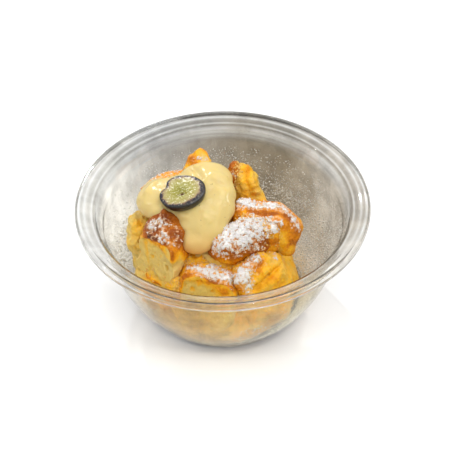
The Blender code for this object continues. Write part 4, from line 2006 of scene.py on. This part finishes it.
@dataclass
class Condensation:
    """Fine drops of water on the inside of the bowl, denser low down and at the back.

    low and high are the heights between which the drops lie, sizes are the least
    and the largest radius, and thin_out is how much rarer drops are at the top.
    """

    material: bpy.types.Material
    bowl: Bowl
    name: str = "condensation"
    count: int = 8500
    low: float = 2.0
    high: float = 37.0
    sizes: Pair = (0.11, 0.3)
    thin_out: float = 0.8
    seed: int = 11
    patch_seed: int = 29
    densest_at: float = 75
    tries: int = 8

    def chance(self, angle: np.ndarray, height: np.ndarray, patch: np.ndarray) -> np.ndarray:
        """How likely a drop is.

        Args:
            angle: Directions from the bowl's axis, in radians.
            height: Heights above the ground.
            patch: A drift that makes the mist uneven.

        Returns:
            One likelihood for each angle and height.
        """
        share = (height - self.low) / (self.high - self.low)
        past = np.mod(angle - math.radians(self.densest_at) + math.pi, math.tau)
        away = np.abs(past / math.pi - 1.0)
        front = smoothstep(0.62, 0.95, away)
        return 1.05 - self.thin_out * share + 0.6 * patch - 0.3 * away - 0.5 * front

    def build(self) -> bpy.types.Object:
        """Scatters drops over the wall.

        Returns:
            The finished piece.
        """
        rng = np.random.default_rng(self.seed)
        tries = self.count * self.tries
        angle = rng.uniform(0, math.tau, tries)
        height = rng.uniform(self.low, self.high, tries)
        rise = 0.05
        reach = np.array([self.bowl.belly_radius(value) for value in height])
        above = np.array([self.bowl.belly_radius(value + rise) for value in height])
        spots = np.column_stack((reach * np.cos(angle), reach * np.sin(angle), height))
        patch = Noise(self.patch_seed).layers(spots, 9.0)
        kept = rng.uniform(size=tries) < reach / 42.0 * self.chance(angle, height, patch)
        drops = Scatter(self.name, self.material, "clear_plastic")
        for index in np.flatnonzero(kept)[: self.count]:
            slope = (above[index] - reach[index]) / rise
            normal = np.array([-math.cos(angle[index]), -math.sin(angle[index]), slope])
            normal /= np.linalg.norm(normal)
            place = spots[index] + normal * (self.bowl.wall + 0.02)
            size = rng.uniform(0, 1) ** 2
            drops.add(place, normal, mix(*self.sizes, size), 0.6, rng)
        return drops.build()


@dataclass
class Crumbs:
    """Moist crumbs caught in the hollows between the pieces of bread."""

    material: bpy.types.Material
    count: int = 1500
    sizes: Pair = (0.18, 0.5)
    lowest: float = 24.0
    thinning: int = 16
    seed: int = 8

    def build(self, skins: list[Skin]) -> bpy.types.Object:
        """Scatters the crumbs where one piece lies close to another.

        Args:
            skins: The outer points of the pieces of bread.

        Returns:
            The finished piece.
        """
        rng = np.random.default_rng(self.seed)
        crumbs = Scatter("moist_crumbs", self.material, "golden_bread")
        clouds = [skin.points[:: self.thinning] for skin in skins]
        cloud = np.concatenate(clouds)
        owner = np.repeat(range(len(skins)), [len(points) for points in clouds])
        made = 0
        while made < self.count:
            which = int(rng.integers(len(skins)))
            skin = skins[which]
            index = int(rng.integers(len(skin.points)))
            place, normal = skin.points[index], skin.normals[index]
            if normal[2] < 0.1 or place[2] < self.lowest:
                continue
            others = cloud[owner != which]
            near = np.min(((others - place - normal * 0.8) ** 2).sum(1))
            if near > rng.uniform(0.2, 5.0):
                continue
            radius = rng.uniform(*self.sizes)
            crumbs.add(place + normal * radius * 0.2, normal, radius, 0.8, rng)
            made += 1
        return crumbs.build()


@dataclass
class VanillaSpecks:
    """A few dark vanilla specks on the cream."""

    material: bpy.types.Material
    count: int = 26
    sizes: Pair = (0.1, 0.19)
    seed: int = 41

    def build(self, cream: bpy.types.Object) -> bpy.types.Object:
        """Scatters the specks over the cream's upper side.

        Args:
            cream: The finished cream.

        Returns:
            The finished piece.
        """
        rng = np.random.default_rng(self.seed)
        specks = Scatter("vanilla_specks", self.material, "pastry_cream")
        mesh = cream.data
        made = 0
        while made < self.count:
            vert = mesh.vertices[int(rng.integers(len(mesh.vertices)))]
            if vert.normal.z < 0.4:
                continue
            specks.add(np.array(vert.co) / MM, vert.normal, rng.uniform(*self.sizes), 0.5, rng)
            made += 1
        return specks.build()


# ----------------------------------------------------------------- studio


@dataclass(frozen=True)
class Lamp:
    """A round area lamp, in metres and watts."""

    name: str
    place: Triple
    size: float
    power: float
    colour: Triple


@dataclass(frozen=True)
class Studio:
    """Floor, lights and camera, in metres."""

    camera_place: Triple = (0.0, -0.22819, 0.24698)
    camera_aim: Triple = (0.001045, 0.0, 0.03368)
    camera_roll: float = -0.0173
    lens: float = 70.48
    floor_size: float = 20.0
    lamps_aim: Triple = (0, 0, 0.03)
    lamps: tuple[Lamp, ...] = (
        Lamp("key", (0.26, 0.06, 0.58), 0.3, 0.85, (1.0, 0.98, 0.95)),
        Lamp("glint_front", (0.13, -0.25, 0.55), 0.014, 0.42, (1.0, 1.0, 1.0)),
        Lamp("glint_left", (-0.46, 0.04, 0.36), 0.014, 0.3, (0.94, 0.97, 1.0)),
        Lamp("glint_back", (-0.12, 0.5, 0.46), 0.016, 0.9, (0.94, 0.97, 1.0)),
        Lamp("glint_right", (0.5, 0.1, 0.4), 0.014, 0.3, (0.94, 0.97, 1.0)),
        Lamp("side", (-0.5, -0.2, 0.5), 0.4, 0.45, (0.96, 0.98, 1.0)),
    )

    def floor(self) -> None:
        """Lays a wide pale plane."""
        bm = bmesh.new()
        bmesh.ops.create_grid(bm, x_segments=1, y_segments=1, size=self.floor_size)
        mesh = bpy.data.meshes.new("floor")
        bm.to_mesh(mesh)
        bm.free()
        nodes = NodeTree("floor")
        nodes.shader.inputs["Base Color"].default_value = (0.93, 0.93, 0.93, 1.0)
        nodes.settle(Roughness=0.9)
        mesh.materials.append(nodes.material)
        floor = bpy.data.objects.new("floor", mesh)
        bpy.context.scene.collection.objects.link(floor)

    def light(self, lamp: Lamp) -> None:
        """Hangs one lamp that faces the pudding.

        Args:
            lamp: The lamp.
        """
        data = bpy.data.lights.new(lamp.name, "AREA")
        data.shape, data.size, data.energy, data.color = "DISK", lamp.size, lamp.power, lamp.colour
        obj = bpy.data.objects.new(lamp.name, data)
        facing = (Vector(self.lamps_aim) - Vector(lamp.place)).to_track_quat("-Z", "Y")
        obj.matrix_world = Matrix.Translation(lamp.place) @ facing.to_matrix().to_4x4()
        bpy.context.scene.collection.objects.link(obj)

    def world(self) -> None:
        """Lights all round from a soft white room, brighter above."""
        world = bpy.data.worlds.new("studio")
        world.use_nodes = True
        tree = world.node_tree
        spot = tree.nodes.new("ShaderNodeTexCoord")
        split = tree.nodes.new("ShaderNodeSeparateXYZ")
        tree.links.new(spot.outputs["Generated"], split.inputs[0])
        rise = tree.nodes.new("ShaderNodeMapRange")
        tree.links.new(split.outputs["Z"], rise.inputs["Value"])
        for label, value in zip(("From Max", "To Min", "To Max"), (0.75, 0.44, 0.96)):
            rise.inputs[label].default_value = value
        tree.links.new(rise.outputs["Result"], tree.nodes["Background"].inputs["Strength"])
        tree.nodes["Background"].inputs["Color"].default_value = (1.0, 1.0, 1.0, 1.0)
        bpy.context.scene.world = world
        bpy.context.scene.view_settings.view_transform = "Standard"

    def camera(self) -> None:
        """Sets the camera up."""
        lens = bpy.data.cameras.new("camera")
        lens.lens, lens.sensor_width, lens.clip_start = self.lens, 36.0, 0.01
        camera = bpy.data.objects.new("camera", lens)
        place, aim = Vector(self.camera_place), Vector(self.camera_aim)
        facing = (aim - place).to_track_quat("-Z", "Y").to_matrix()
        roll = Matrix.Rotation(self.camera_roll, 3, "Z")
        camera.matrix_world = Matrix.Translation(place) @ (facing @ roll).to_4x4()
        bpy.context.scene.collection.objects.link(camera)
        bpy.context.scene.camera = camera

    def build(self) -> None:
        """Sets the whole studio up."""
        self.floor()
        for lamp in self.lamps:
            self.light(lamp)
        self.world()
        self.camera()


def main() -> None:
    """Builds every piece in turn."""
    logging.basicConfig(level=logging.INFO, format="%(name)s %(message)s")
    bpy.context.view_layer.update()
    bread = BreadFinish().build()
    bowl = Bowl(ClearFinish().build())
    bowl.build()
    Mass(bread, bowl).build()
    maker = ChunkMaker(bread)
    skins = [maker.build(chunk) for chunk in CHUNKS]
    cream = Cream(CreamFinish().build()).build()
    VanillaSpecks(PlainFinish("vanilla_speck", (0.10, 0.05, 0.02)).build()).build(cream)
    Berry(BerryFinish().build()).build()
    sugar = PlainFinish("powdered_sugar", (0.94, 0.91, 0.88), 0.8, 0.2).build()
    SugarGrains(sugar).build(skins)
    # The drops are whitish: the mist's own whiteness and painted glints.
    water = PlainFinish("water_drops", (0.85, 0.85, 0.82), 0.12).build()
    Condensation(water, bowl).build()
    Condensation(
        water,
        bowl,
        name="condensation_low",
        count=6500,
        low=2.4,
        high=24.0,
        sizes=(0.15, 0.42),
        thin_out=0.6,
        seed=13,
    ).build()
    crumb = PlainFinish("moist_crumb", (0.86, 0.5, 0.12), 0.35, 0.2).build()
    Crumbs(crumb).build(skins)
    Studio().build()


if __name__ == "__main__":
    main()
